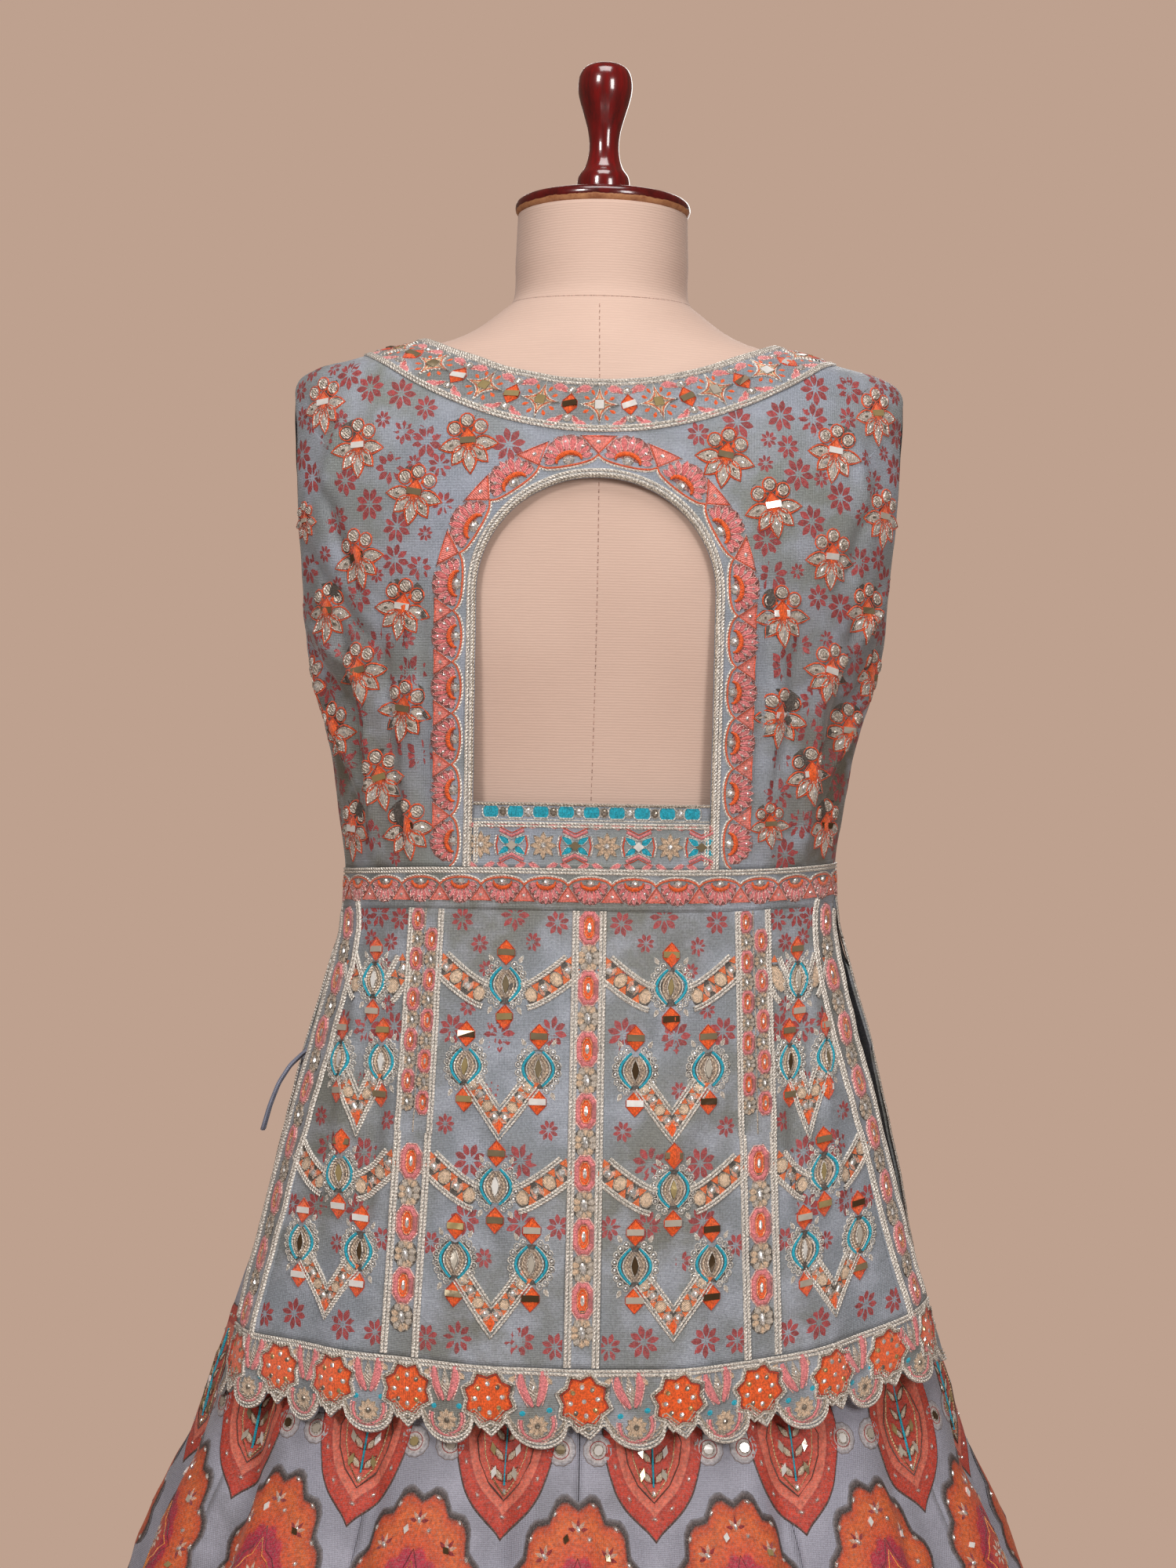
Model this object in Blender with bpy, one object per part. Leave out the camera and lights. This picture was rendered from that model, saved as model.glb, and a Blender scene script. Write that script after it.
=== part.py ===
"""Peplum top and flared lehenga skirt on a limbless dress form.

Metres, +Z up. The origin is on the floor under the form's pole. The garment's back faces -Y and its
front +Y, so +X is on the right in a view of the back. Every cloth piece is a wall worked out from
one of three surfaces: the form, the top and the skirt. A surface is a stack of rounded sections,
and a place on it is a turn round the body, from 0 at the centre back, and a height.
"""

import math
from collections import namedtuple

import bmesh
import bpy
from mathutils import Vector

# Driving sizes of the cloth
CLOTH = 0.0016
BAND = 0.0011
SEAM = 0.0003
HALF_SEAM = 0.0002

# Heights above the floor
FORM_BOTTOM = 0.655
SHOULDER_TIP = 1.3665
NECK_POINT = 1.3920
BAND_POINT = 1.3822
UNDERARM = 1.1900
WAIST_SEAM = 1.0625
BORDER_LINE = 0.778
BORDER_NOTCH = 0.748
WAISTBAND_TOP = 1.036
WAISTBAND_BOTTOM = 0.996
SKIRT_HEM = 0.012

# Necklines: how far the band's two edges dip at the middle, and how sharply
BACK_NECK_DROP = 0.0346
BACK_BAND_DROP = 0.0577
FRONT_NECK_DROP = 0.1000
FRONT_BAND_DROP = 0.1232
NECK_CURVE = 2.1

# Armholes, the arch cut in the back, and the bust
ARMHOLE_BACK = math.radians(16)
ARMHOLE_FRONT = math.radians(22)
ARCH_HALF = 0.0722
ARCH_SILL = 1.1016
ARCH_SPRING = 1.2280
ARCH_TOP = 1.2970
ARCH_CORD = 0.0090
BUST_TURN = math.radians(150)
BUST_WIDE = math.radians(27)
BUST_HEIGHT = 1.185
BUST_TALL = 0.085
BUST_PROUD = 0.013

# Applied strips: half widths and places at the waist, and what they gain by the border
WAIST_BAND_TALL = 0.0255
CENTRE_STRIP = 0.0090
CENTRE_STRIP_GAIN = 0.0022
PRINCESS_LINE = 0.0970
PRINCESS_LINE_GAIN = 0.0080
PRINCESS_STRIP = 0.0105
DOUBLED_STRIP = 0.0130
SIDE_STRIP = 0.0120
SIDE_STRIP_GAIN = 0.0100

# The scalloped border: rounds under the tulips and points under the stars
BORDER_PERIODS = 11
ROUND_LOBE = 0.0140
POINT_LOBE = 0.0085
ROUND_SHARE = 0.31
POINT_SHARE = 0.17

# The worn top sits higher on the right side, and its border rises towards both sides
HITCH = 0.0100
HITCH_FROM = 1.20
HITCH_FULL = 1.06
SIDE_RISE = 0.0120
SIDE_AT = 0.200

# The skirt's gores on each half, its folds all round, and how far the folds lean as they go round
SKIRT_GORES = 6
SKIRT_FOLDS = 16
FOLD_LEAN = 0.35

Section = namedtuple("Section", "z half_width back front squareness")
SkirtSection = namedtuple("SkirtSection", "z half_width back front squareness fold")
PanelEdge = namedtuple("PanelEdge", "z back_left back_right front")
Fold = namedtuple("Fold", "turn width proud")
Lathe = namedtuple("Lathe", "radius z")

FORM = [
    Section(1.4742, 0.0540, 0.0540, 0.0540, 2.00),
    Section(1.4450, 0.0550, 0.0550, 0.0550, 2.00),
    Section(1.4190, 0.0562, 0.0570, 0.0560, 2.00),
    Section(1.4110, 0.0650, 0.0610, 0.0580, 1.95),
    Section(1.3980, 0.0840, 0.0670, 0.0605, 1.80),
    Section(1.3905, 0.1030, 0.0710, 0.0630, 1.70),
    Section(1.3842, 0.1290, 0.0738, 0.0655, 1.62),
    Section(1.3745, 0.1550, 0.0770, 0.0690, 1.62),
    Section(1.3610, 0.1755, 0.0812, 0.0730, 1.74),
    Section(1.3450, 0.1860, 0.0855, 0.0780, 1.88),
    Section(1.3200, 0.1905, 0.0910, 0.0860, 2.05),
    Section(1.3000, 0.1912, 0.0940, 0.0925, 2.12),
    Section(1.2700, 0.1885, 0.0955, 0.1040, 2.18),
    Section(1.2400, 0.1815, 0.0950, 0.1130, 2.20),
    Section(1.2000, 0.1700, 0.0910, 0.1180, 2.20),
    Section(1.1500, 0.1560, 0.0835, 0.1090, 2.20),
    Section(1.1000, 0.1430, 0.0775, 0.0970, 2.20),
    Section(1.0360, 0.1380, 0.0780, 0.0920, 2.18),
    Section(0.9960, 0.1450, 0.0865, 0.0960, 2.16),
    Section(0.9400, 0.1590, 0.1010, 0.1020, 2.12),
    Section(0.8800, 0.1690, 0.1110, 0.1050, 2.10),
    Section(0.8200, 0.1730, 0.1110, 0.1040, 2.10),
    Section(0.7600, 0.1690, 0.1050, 0.0990, 2.10),
    Section(0.7000, 0.1600, 0.0970, 0.0930, 2.10),
    Section(0.6650, 0.1510, 0.0910, 0.0890, 2.10),
    Section(0.6550, 0.1420, 0.0840, 0.0820, 2.10),
]

TOP = [
    Section(1.3985, 0.0930, 0.0735, 0.0665, 1.72),
    Section(1.3942, 0.1035, 0.0750, 0.0675, 1.68),
    Section(1.3880, 0.1310, 0.0775, 0.0695, 1.62),
    Section(1.3800, 0.1580, 0.0810, 0.0725, 1.62),
    Section(1.3740, 0.1800, 0.0838, 0.0752, 1.72),
    Section(1.3665, 0.1915, 0.0868, 0.0783, 1.82),
    Section(1.3500, 0.1942, 0.0912, 0.0840, 1.95),
    Section(1.3300, 0.1946, 0.0958, 0.0905, 2.05),
    Section(1.3000, 0.1950, 0.0998, 0.0985, 2.14),
    Section(1.2700, 0.1932, 0.1010, 0.1095, 2.19),
    Section(1.2400, 0.1892, 0.1005, 0.1195, 2.20),
    Section(1.2135, 0.1858, 0.0988, 0.1235, 2.20),
    Section(1.1900, 0.1815, 0.0968, 0.1240, 2.20),
    Section(1.1700, 0.1762, 0.0948, 0.1210, 2.20),
    Section(1.1500, 0.1708, 0.0928, 0.1160, 2.20),
    Section(1.1300, 0.1655, 0.0910, 0.1115, 2.20),
    Section(1.1100, 0.1626, 0.0898, 0.1080, 2.20),
    Section(1.0900, 0.1595, 0.0892, 0.1060, 2.20),
    Section(1.0625, 0.1556, 0.0900, 0.1045, 2.18),
    Section(1.0335, 0.1570, 0.0945, 0.1075, 2.16),
    Section(0.9935, 0.1660, 0.1055, 0.1150, 2.14),
    Section(0.9535, 0.1775, 0.1175, 0.1240, 2.12),
    Section(0.9135, 0.1890, 0.1290, 0.1335, 2.10),
    Section(0.8735, 0.2000, 0.1390, 0.1425, 2.10),
    Section(0.8335, 0.2105, 0.1490, 0.1515, 2.10),
    Section(0.7935, 0.2215, 0.1590, 0.1610, 2.10),
    Section(0.7535, 0.2320, 0.1680, 0.1700, 2.10),
    Section(0.7200, 0.2410, 0.1755, 0.1780, 2.10),
]

# How far from the middle each side edge of the peplum lies: the sides are slit from the waist
SIDE_EDGES = [
    PanelEdge(1.0625, 0.1560, 0.1560, 0.1560),
    PanelEdge(1.0200, 0.1560, 0.1525, 0.1590),
    PanelEdge(0.9590, 0.1700, 0.1645, 0.1765),
    PanelEdge(0.8925, 0.1870, 0.1820, 0.1930),
    PanelEdge(0.8335, 0.2000, 0.1960, 0.2060),
    PanelEdge(0.7780, 0.2120, 0.2110, 0.2165),
    PanelEdge(0.7200, 0.2210, 0.2270, 0.2280),
]

# How far the peplum's soft folds stand out at its border; they fade towards the waist
PEPLUM_FOLDS = [
    Fold(-58, 12, 0.0050),
    Fold(-36, 10, 0.0035),
    Fold(-14, 9, 0.0025),
    Fold(14, 9, 0.0030),
    Fold(36, 10, 0.0035),
    Fold(58, 12, 0.0050),
    Fold(122, 13, 0.0060),
    Fold(150, 12, 0.0040),
    Fold(180, 12, 0.0040),
    Fold(210, 12, 0.0040),
    Fold(238, 13, 0.0060),
]

SKIRT = [
    SkirtSection(0.9960, 0.1500, 0.0912, 0.1005, 2.14, 0.0004),
    SkirtSection(0.9700, 0.1580, 0.0995, 0.1062, 2.12, 0.0012),
    SkirtSection(0.9200, 0.1730, 0.1170, 0.1220, 2.10, 0.0024),
    SkirtSection(0.8600, 0.1915, 0.1350, 0.1380, 2.10, 0.0028),
    SkirtSection(0.8000, 0.2125, 0.1490, 0.1510, 2.10, 0.0030),
    SkirtSection(0.7400, 0.2310, 0.1625, 0.1645, 2.10, 0.0034),
    SkirtSection(0.7000, 0.2430, 0.1735, 0.1755, 2.10, 0.0052),
    SkirtSection(0.6600, 0.2620, 0.1870, 0.1895, 2.08, 0.0072),
    SkirtSection(0.6130, 0.2790, 0.2040, 0.2065, 2.06, 0.0088),
    SkirtSection(0.5200, 0.3045, 0.2380, 0.2405, 2.04, 0.0110),
    SkirtSection(0.4000, 0.3350, 0.2810, 0.2840, 2.02, 0.0135),
    SkirtSection(0.2600, 0.3760, 0.3290, 0.3320, 2.00, 0.0165),
    SkirtSection(0.1200, 0.4140, 0.3730, 0.3760, 2.00, 0.0190),
    SkirtSection(0.0120, 0.4400, 0.4030, 0.4060, 2.00, 0.0205),
]


# Surfaces


def signed_power(base, exponent):
    return math.copysign(abs(base) ** exponent, base)


def row_at(table, z):
    """The table's row at height z, on a smooth curve through its rows, which run from the top down."""
    last = len(table) - 1
    i = 0
    while i < last - 1 and z < table[i + 1].z:
        i += 1
    before, here, after, beyond = (table[max(0, min(last, i + k))] for k in (-1, 0, 1, 2))
    span = after.z - here.z
    share = (z - here.z) / span
    s2, s3 = share * share, share**3

    def eased(column):
        first, second = getattr(here, column), getattr(after, column)
        low, high = getattr(before, column), getattr(beyond, column)
        slope_in = span * (second - low) / (after.z - before.z)
        slope_out = span * (high - first) / (beyond.z - here.z)
        return (
            (2 * s3 - 3 * s2 + 1) * first
            + (s3 - 2 * s2 + share) * slope_in
            + (3 * s2 - 2 * s3) * second
            + (s3 - s2) * slope_out
        )

    return here._replace(z=z, **{c: eased(c) for c in here._fields if c != "z"})


def section_point(table, turn, z):
    """The plain surface: a rounded section, its back and front half of their own depth."""
    row = row_at(table, z)
    depth = row.back if math.cos(turn) > 0 else row.front
    x = row.half_width * signed_power(math.sin(turn), 2 / row.squareness)
    y = -depth * signed_power(math.cos(turn), 2 / row.squareness)
    return Vector((x, y, z))


def hump(away, reach):
    """1 in the middle of a soft hump, 0 from its reach on."""
    return math.cos(min(1.0, abs(away) / reach) * math.pi / 2) ** 2


def turn_away(turn, middle):
    return (turn - middle + math.pi) % (2 * math.pi) - math.pi


def bust(turn, z):
    """How far the bust stands out there."""
    around = sum(hump(turn_away(turn, side * BUST_TURN), BUST_WIDE) for side in (-1, 1))
    return BUST_PROUD * around * hump(z - BUST_HEIGHT, BUST_TALL)


def peplum_fall(z):
    """0 at the waist seam and 1 at the border."""
    return max(0.0, (WAIST_SEAM - z) / (WAIST_SEAM - BORDER_LINE))


def peplum_fold(turn, z):
    """How far the peplum's folds stand out there."""
    folds = sum(
        f.proud * hump(turn_away(turn, math.radians(f.turn)), math.radians(f.width))
        for f in PEPLUM_FOLDS
    )
    return peplum_fall(z) ** 1.5 * folds


def skirt_fold(turn, z):
    """The skirt's folds: broad ridges and narrower valleys, which lean a little as they fall."""
    depth = row_at(SKIRT, z).fold
    lean = FOLD_LEAN * math.sin(2 * turn + 0.6)
    wave = math.cos(SKIRT_FOLDS * turn + lean + 0.5 * math.sin(3 * turn))
    return depth * (wave + 0.25 * (1 - wave * wave)) * (0.8 + 0.2 * math.sin(5 * turn + 1.0))


def pushed_out(p, proud):
    """The point moved out level with the floor."""
    return p + Vector((p.x, p.y, 0)).normalized() * proud


def form_skin(turn, z):
    return pushed_out(section_point(FORM, turn, z), bust(turn, z))


def top_skin(turn, z):
    """The outer face of the top's cloth, as worn."""
    p = pushed_out(section_point(TOP, turn, z), bust(turn, z) + peplum_fold(turn, z))
    ramp = min(1.0, max(0.0, (HITCH_FROM - z) / (HITCH_FROM - HITCH_FULL)))
    aside = p.x / SIDE_AT
    p.z += HITCH * ramp * ramp * (3 - 2 * ramp) * aside**3
    p.z += SIDE_RISE * peplum_fall(z) * aside**2
    return p


def skirt_skin(turn, z):
    return pushed_out(section_point(SKIRT, turn, z), skirt_fold(turn, z))


def on(skin, turn, z, out):
    """A point that stands out from a skin, square to it."""
    step = 1e-3
    across = skin(turn + step, z) - skin(turn - step, z)
    up = skin(turn, z + step) - skin(turn, z - step)
    return skin(turn, z) + across.cross(up).normalized() * out


def turn_at_x(x, z):
    """The turn, on the top's back half, where its section at height z is x from the middle."""
    row = row_at(TOP, z)
    share = min(1.0, abs(x) / row.half_width)
    return math.copysign(math.asin(share ** (row.squareness / 2)), x)


def side_turn(table, z):
    """The turn, just short of a quarter, that lies half a seam behind the side line."""
    row = row_at(table, z)
    return math.acos((HALF_SEAM / row.back) ** (row.squareness / 2))


# Making objects


def material(name, colour, roughness, metallic=0.0):
    made = bpy.data.materials.new(name)
    made.use_nodes = True
    shader = made.node_tree.nodes["Principled BSDF"]
    shader.inputs["Base Color"].default_value = (*colour, 1)
    shader.inputs["Roughness"].default_value = roughness
    shader.inputs["Metallic"].default_value = metallic
    return made


def add_object(name, builder, finish):
    """An object from a bmesh, its faces turned outwards and its round places shaded smooth."""
    bmesh.ops.recalc_face_normals(builder, faces=builder.faces)
    mesh = bpy.data.meshes.new(name)
    builder.to_mesh(mesh)
    builder.free()
    mesh.shade_smooth()
    mesh.set_sharp_from_angle(angle=math.radians(50))
    mesh.materials.append(finish)
    made = bpy.data.objects.new(name, mesh)
    bpy.context.scene.collection.objects.link(made)
    return made


def wall(name, skin, patches, low, high, finish):
    """A closed wall between low and high out from a skin, over one or more grids of places.

    Grids join where they share places; the wall is closed by a rim along every free edge.
    """
    bm = bmesh.new()
    columns = {}

    def column(place):
        outer = on(skin, *place, high)
        key = tuple(round(c, 6) for c in outer)
        if key not in columns:
            columns[key] = (bm.verts.new(on(skin, *place, low)), bm.verts.new(outer))
        return columns[key]

    uses = {}
    for grid in patches:
        made = [[column(place) for place in row] for row in grid]
        for first, second in zip(made, made[1:]):
            for j in range(len(first) - 1):
                loop = (first[j], first[j + 1], second[j + 1], second[j])
                for layer in (0, 1):
                    bm.faces.new([corner[layer] for corner in loop])
                for k in range(4):
                    pair = (loop[k], loop[(k + 1) % 4])
                    uses.setdefault(frozenset(pair), []).append(pair)
    for pairs in uses.values():
        if len(pairs) == 1:
            a, b = pairs[0]
            bm.faces.new((a[0], b[0], b[1], a[1]))
    return add_object(name, bm, finish)


def loft(name, rings, finish):
    """A closed solid through rings of points, with a flat face at each end."""
    bm = bmesh.new()
    made = [[bm.verts.new(point) for point in ring] for ring in rings]
    sides = len(made[0])
    for first, second in zip(made, made[1:]):
        for k in range(sides):
            n = (k + 1) % sides
            bm.faces.new((first[k], first[n], second[n], second[k]))
    bm.faces.new(made[0])
    bm.faces.new(made[-1])
    return add_object(name, bm, finish)


def turned(name, profile, sides, finish):
    """A turned piece from its profile, bottom to top."""
    angles = [2 * math.pi * k / sides for k in range(sides)]
    rings = [[(p.radius * math.cos(a), p.radius * math.sin(a), p.z) for a in angles] for p in profile]
    return loft(name, rings, finish)


def spread(first, last, count):
    """count + 1 values from first to last."""
    return [first + (last - first) * k / count for k in range(count + 1)]


def between(first_row, last_row, shares):
    """Rows of places between two rows with as many places."""
    return [
        [(a[0] + (b[0] - a[0]) * s, a[1] + (b[1] - a[1]) * s) for a, b in zip(first_row, last_row)]
        for s in shares
    ]


def mirrored(places):
    return [(-turn, z) for turn, z in reversed(places)]


def to_front(places):
    """Places on the back turned round to the front, their own side kept."""
    return [(math.pi - turn, z) for turn, z in places]


def chain(*runs):
    """Runs of places joined end to end, with each shared end kept once."""
    joined = list(runs[0])
    for run in runs[1:]:
        joined += run[1:]
    return joined


# The dress form

JERSEY = material("jersey", (0.72, 0.55, 0.46), 0.85)
WOOD = material("varnished_wood", (0.16, 0.012, 0.012), 0.25)
STEEL = material("pole_steel", (0.60, 0.60, 0.62), 0.30, 1.0)
FORM_SIDES = 36
POLE_RADIUS = 0.0140

CAP_PROFILE = [
    Lathe(0.0530, 1.4745),
    Lathe(0.0552, 1.4757),
    Lathe(0.0560, 1.4785),
    Lathe(0.0556, 1.4815),
    Lathe(0.0540, 1.4834),
    Lathe(0.0420, 1.4852),
    Lathe(0.0170, 1.4860),
]
FINIAL_PROFILE = [
    Lathe(0.0155, 1.4863),
    Lathe(0.0168, 1.4890),
    Lathe(0.0168, 1.4975),
    Lathe(0.0158, 1.5015),
    Lathe(0.0128, 1.5045),
    Lathe(0.0106, 1.5100),
    Lathe(0.0095, 1.5165),
    Lathe(0.0094, 1.5225),
    Lathe(0.0104, 1.5300),
    Lathe(0.0128, 1.5385),
    Lathe(0.0153, 1.5465),
    Lathe(0.0170, 1.5530),
    Lathe(0.0174, 1.5585),
    Lathe(0.0168, 1.5640),
    Lathe(0.0150, 1.5685),
    Lathe(0.0110, 1.5714),
    Lathe(0.0050, 1.5725),
]
BASE_PROFILE = [
    Lathe(0.1880, 0.0000),
    Lathe(0.1910, 0.0040),
    Lathe(0.1900, 0.0150),
    Lathe(0.1820, 0.0215),
    Lathe(0.0700, 0.0265),
    Lathe(0.0480, 0.0340),
    Lathe(0.0340, 0.0480),
    Lathe(0.0300, 0.0600),
]


def build_form():
    turns = [2 * math.pi * k / FORM_SIDES for k in range(FORM_SIDES)]
    loft("form_torso", [[form_skin(turn, row.z) for turn in turns] for row in FORM], JERSEY)
    turned("form_neck_cap", CAP_PROFILE, 28, WOOD)
    turned("form_finial", FINIAL_PROFILE, 16, WOOD)
    foot = BASE_PROFILE[-1].z + SEAM
    pole = [Lathe(POLE_RADIUS, foot), Lathe(POLE_RADIUS, FORM_BOTTOM - SEAM)]
    turned("form_pole", pole, 16, STEEL)
    turned("form_base", BASE_PROFILE, 32, WOOD)


# The bodice

TOP_CLOTH = material("printed_silk", (0.27, 0.31, 0.33), 0.55)
TRIM = material("embroidered_trim", (0.55, 0.33, 0.26), 0.60)
RIBBON = material("turquoise_trim", (0.10, 0.42, 0.47), 0.55)
CORD = material("silver_cord", (0.50, 0.47, 0.44), 0.40)

SIDE_COUNT = 4
ARMHOLE_LOW = 4
ARMHOLE_HIGH = 4
SHOULDER_COUNT = 2
NECK_COUNT = 18
MIDDLE_SHARES = (0.20, 0.42, 0.64, 0.84, 1)


def dipping_line(point, drop):
    """A line over the back from shoulder to shoulder, right to left, that dips by drop at the middle."""
    half = row_at(TOP, point).half_width
    places = []
    for angle in spread(math.pi / 2, -math.pi / 2, NECK_COUNT):
        z = point - drop * (1 - abs(math.sin(angle)) ** NECK_CURVE)
        most = side_turn(TOP, z)
        turn = turn_at_x(half * math.sin(angle), z)
        places.append((max(-most, min(most, turn)), z))
    return places


def armhole(reach):
    """The right back edge of the armhole, from the underarm up to the shoulder tip."""
    middle, half = (SHOULDER_TIP + UNDERARM) / 2, (SHOULDER_TIP - UNDERARM) / 2
    places = []
    for angle in spread(0, math.pi, ARMHOLE_LOW + ARMHOLE_HIGH):
        z = middle - half * math.cos(angle)
        places.append((min(math.pi / 2 - reach * math.sin(angle), side_turn(TOP, z)), z))
    return places


def side_line(low, high, count):
    return [(side_turn(TOP, z), z) for z in spread(low, high, count)]


def arch(grow):
    """The arch's edge grown by grow: from the waist up its right side, over and down its left."""
    half, rise = ARCH_HALF + grow, ARCH_TOP - ARCH_SPRING + grow
    foot = WAIST_SEAM + HALF_SEAM
    side_count = SIDE_COUNT + ARMHOLE_LOW
    arc_count = 2 * (ARMHOLE_HIGH + SHOULDER_COUNT) + NECK_COUNT
    right = [(half, z) for z in spread(foot, ARCH_SPRING, side_count)]
    arc = [
        (half * math.cos(a), ARCH_SPRING + rise * math.sin(a)) for a in spread(0, math.pi, arc_count)
    ]
    left = [(-half, z) for z in spread(ARCH_SPRING, foot, side_count)]
    return [(turn_at_x(x, z), z) for x, z in chain(right, arc, left)]


def neck_patch(neck_drop, band_drop):
    """The places of a neck band, from its lower edge up to the neckline."""
    low, high = dipping_line(BAND_POINT, band_drop), dipping_line(NECK_POINT, neck_drop)
    return between(low, high, (0, 0.5, 1))


def build_bodice_back():
    """The back, in rows from the arch's edge out to the seams, with the arch's cord and neck band."""
    right = chain(
        side_line(WAIST_SEAM + HALF_SEAM, UNDERARM, SIDE_COUNT),
        armhole(ARMHOLE_BACK),
        side_line(SHOULDER_TIP, BAND_POINT, SHOULDER_COUNT),
    )
    neck = neck_patch(BACK_NECK_DROP, BACK_BAND_DROP)
    outline = chain(right, neck[0], mirrored(right))
    edge, cord_edge = arch(0), arch(ARCH_CORD)
    body = [edge, cord_edge, *between(cord_edge, outline, MIDDLE_SHARES)]
    wall("bodice_back", top_skin, [body, neck], -CLOTH, 0, TOP_CLOTH)
    wall("arch_cord", top_skin, [[edge, cord_edge]], SEAM, SEAM + BAND, CORD)
    wall("neck_band_back", top_skin, [neck], SEAM, SEAM + BAND, TRIM)


def build_bodice_front():
    """The front, in rows from the waist up, with its neck band."""
    right = chain(
        armhole(ARMHOLE_FRONT),
        side_line(SHOULDER_TIP, BAND_POINT, SHOULDER_COUNT),
    )
    neck = neck_patch(FRONT_NECK_DROP, FRONT_BAND_DROP)
    top_edge = chain(right, neck[0], mirrored(right))
    foot = WAIST_SEAM + HALF_SEAM
    side = side_turn(TOP, foot)
    waist = [(turn, foot) for turn in spread(side, -side, len(top_edge) - 1)]
    body = between(waist, top_edge, (0, 0.11, 0.22, 0.34, 0.46, 0.58, 0.7, 0.82, 0.92, 1))
    neck = [to_front(row) for row in neck]
    wall("bodice_front", top_skin, [[to_front(row) for row in body], neck], -CLOTH, 0, TOP_CLOTH)
    wall("neck_band_front", top_skin, [neck], SEAM, SEAM + BAND, TRIM)


def build_yoke_band():
    """The band set in across the foot of the arch."""
    half = ARCH_HALF - SEAM - HALF_SEAM
    rows = [
        [(turn_at_x(x, z), z) for x in spread(-half, half, 10)]
        for z in spread(WAIST_SEAM + HALF_SEAM, ARCH_SILL, 2)
    ]
    wall("back_yoke_band", top_skin, [rows], -CLOTH, 0, RIBBON)


# The peplum

GORE_FILL = 4
BORDER_STEPS = 6
BAND_ROWS = [WAIST_SEAM - HALF_SEAM, WAIST_SEAM - WAIST_BAND_TALL / 2, WAIST_SEAM - WAIST_BAND_TALL]
GORE_ROWS = BAND_ROWS + spread(BAND_ROWS[-1], BORDER_LINE + HALF_SEAM, 8)[1:]


def side_edge(z, place):
    """How far from the middle the panel's side edge lies: place is a column of SIDE_EDGES."""
    row = row_at(TOP, z)
    return min(getattr(row_at(SIDE_EDGES, z), place), row.half_width - 1e-6)


def gore_columns(z, place):
    """The distances from the middle of a gore's points at height z, from the centre line out.

    The same points carry the strips and the waist band that lie on the gores.
    """
    fall = peplum_fall(z)
    centre = CENTRE_STRIP + CENTRE_STRIP_GAIN * fall
    line = PRINCESS_LINE + PRINCESS_LINE_GAIN * fall
    tuck = min(1.0, fall / 0.5)
    doubled = line + DOUBLED_STRIP + (PRINCESS_STRIP - DOUBLED_STRIP) * tuck
    edge = side_edge(z, place)
    side = edge - SIDE_STRIP - SIDE_STRIP_GAIN * fall
    inner = spread(centre, line - PRINCESS_STRIP, GORE_FILL)
    outer = spread(doubled, side, GORE_FILL)
    return [0.0, *inner, line, *outer, edge]


PRINCESS_AT = GORE_FILL + 2
LAST_AT = 2 * GORE_FILL + 4


def gore_place(z, place, column, nudge=0.0):
    """A place of the right half, from its column; nudge moves it that far out from the middle."""
    turn = turn_at_x(gore_columns(z, place)[column] + nudge, z)
    return min(turn, side_turn(TOP, z)), z


# One row per quarter of the peplum: its name, its column of SIDE_EDGES and how it is turned
Quarter = namedtuple("Quarter", "side half place")
QUARTERS = [
    Quarter("right", "back", "back_right"),
    Quarter("left", "back", "back_left"),
    Quarter("right", "front", "front"),
    Quarter("left", "front", "front"),
]


def placed(rows, quarter):
    """Rows of the right back half, moved to their quarter."""
    if quarter.side == "left":
        rows = [mirrored(row) for row in rows]
    if quarter.half == "front":
        rows = [to_front(row) for row in rows]
    return rows


def column_rows(heights, place, first, last, low_nudge=0.0, high_nudge=0.0):
    """Rows of places from one column to another; each end may be nudged off its seam."""
    rows = []
    for z in heights:
        row = [gore_place(z, place, first, low_nudge)]
        row += [gore_place(z, place, k) for k in range(first + 1, last)]
        row.append(gore_place(z, place, last, -high_nudge))
        rows.append(row)
    return rows


def build_gores():
    for q in QUARTERS:
        centre = column_rows(GORE_ROWS, q.place, 0, PRINCESS_AT, HALF_SEAM, HALF_SEAM)
        side = column_rows(GORE_ROWS, q.place, PRINCESS_AT, LAST_AT, HALF_SEAM)
        for name, rows in (("centre", centre), ("side", side)):
            title = f"peplum_{q.half}_{name}_{q.side}"
            wall(title, top_skin, [placed(rows, q)], -CLOTH, 0, TOP_CLOTH)


def build_strips():
    """The strips over the gores' seams and slit edges, from the waist band down to the border."""
    heights = [WAIST_SEAM - WAIST_BAND_TALL - SEAM, *GORE_ROWS[3:-1], BORDER_LINE + HALF_SEAM + SEAM]
    for q in QUARTERS:
        princess = column_rows(heights, q.place, PRINCESS_AT - 1, PRINCESS_AT + 1)
        side = column_rows(heights, q.place, LAST_AT - 1, LAST_AT)
        for name, rows in (("princess", princess), ("side", side)):
            title = f"strip_{q.half}_{name}_{q.side}"
            wall(title, top_skin, [placed(rows, q)], SEAM, SEAM + BAND, TRIM)
    half = column_rows(heights, "front", 0, 1)
    for name, rows in across_both(half, half):
        wall(f"strip_{name}_centre", top_skin, [rows], SEAM, SEAM + BAND, TRIM)


def across_both(right, left):
    """Rows from the left edge to the right one, once over the back and once over the front."""
    rows = [chain(mirrored(b), a) for a, b in zip(right, left)]
    return ("back", rows), ("front", [to_front(row) for row in rows])


def build_waist_bands():
    for name, right_place, left_place in (
        ("back", "back_right", "back_left"),
        ("front", "front", "front"),
    ):
        right = column_rows(BAND_ROWS, right_place, 0, LAST_AT)
        left = column_rows(BAND_ROWS, left_place, 0, LAST_AT)
        rows = dict(across_both(right, left))[name]
        wall(f"waist_band_{name}", top_skin, [rows], SEAM, SEAM + BAND, TRIM)


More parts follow.
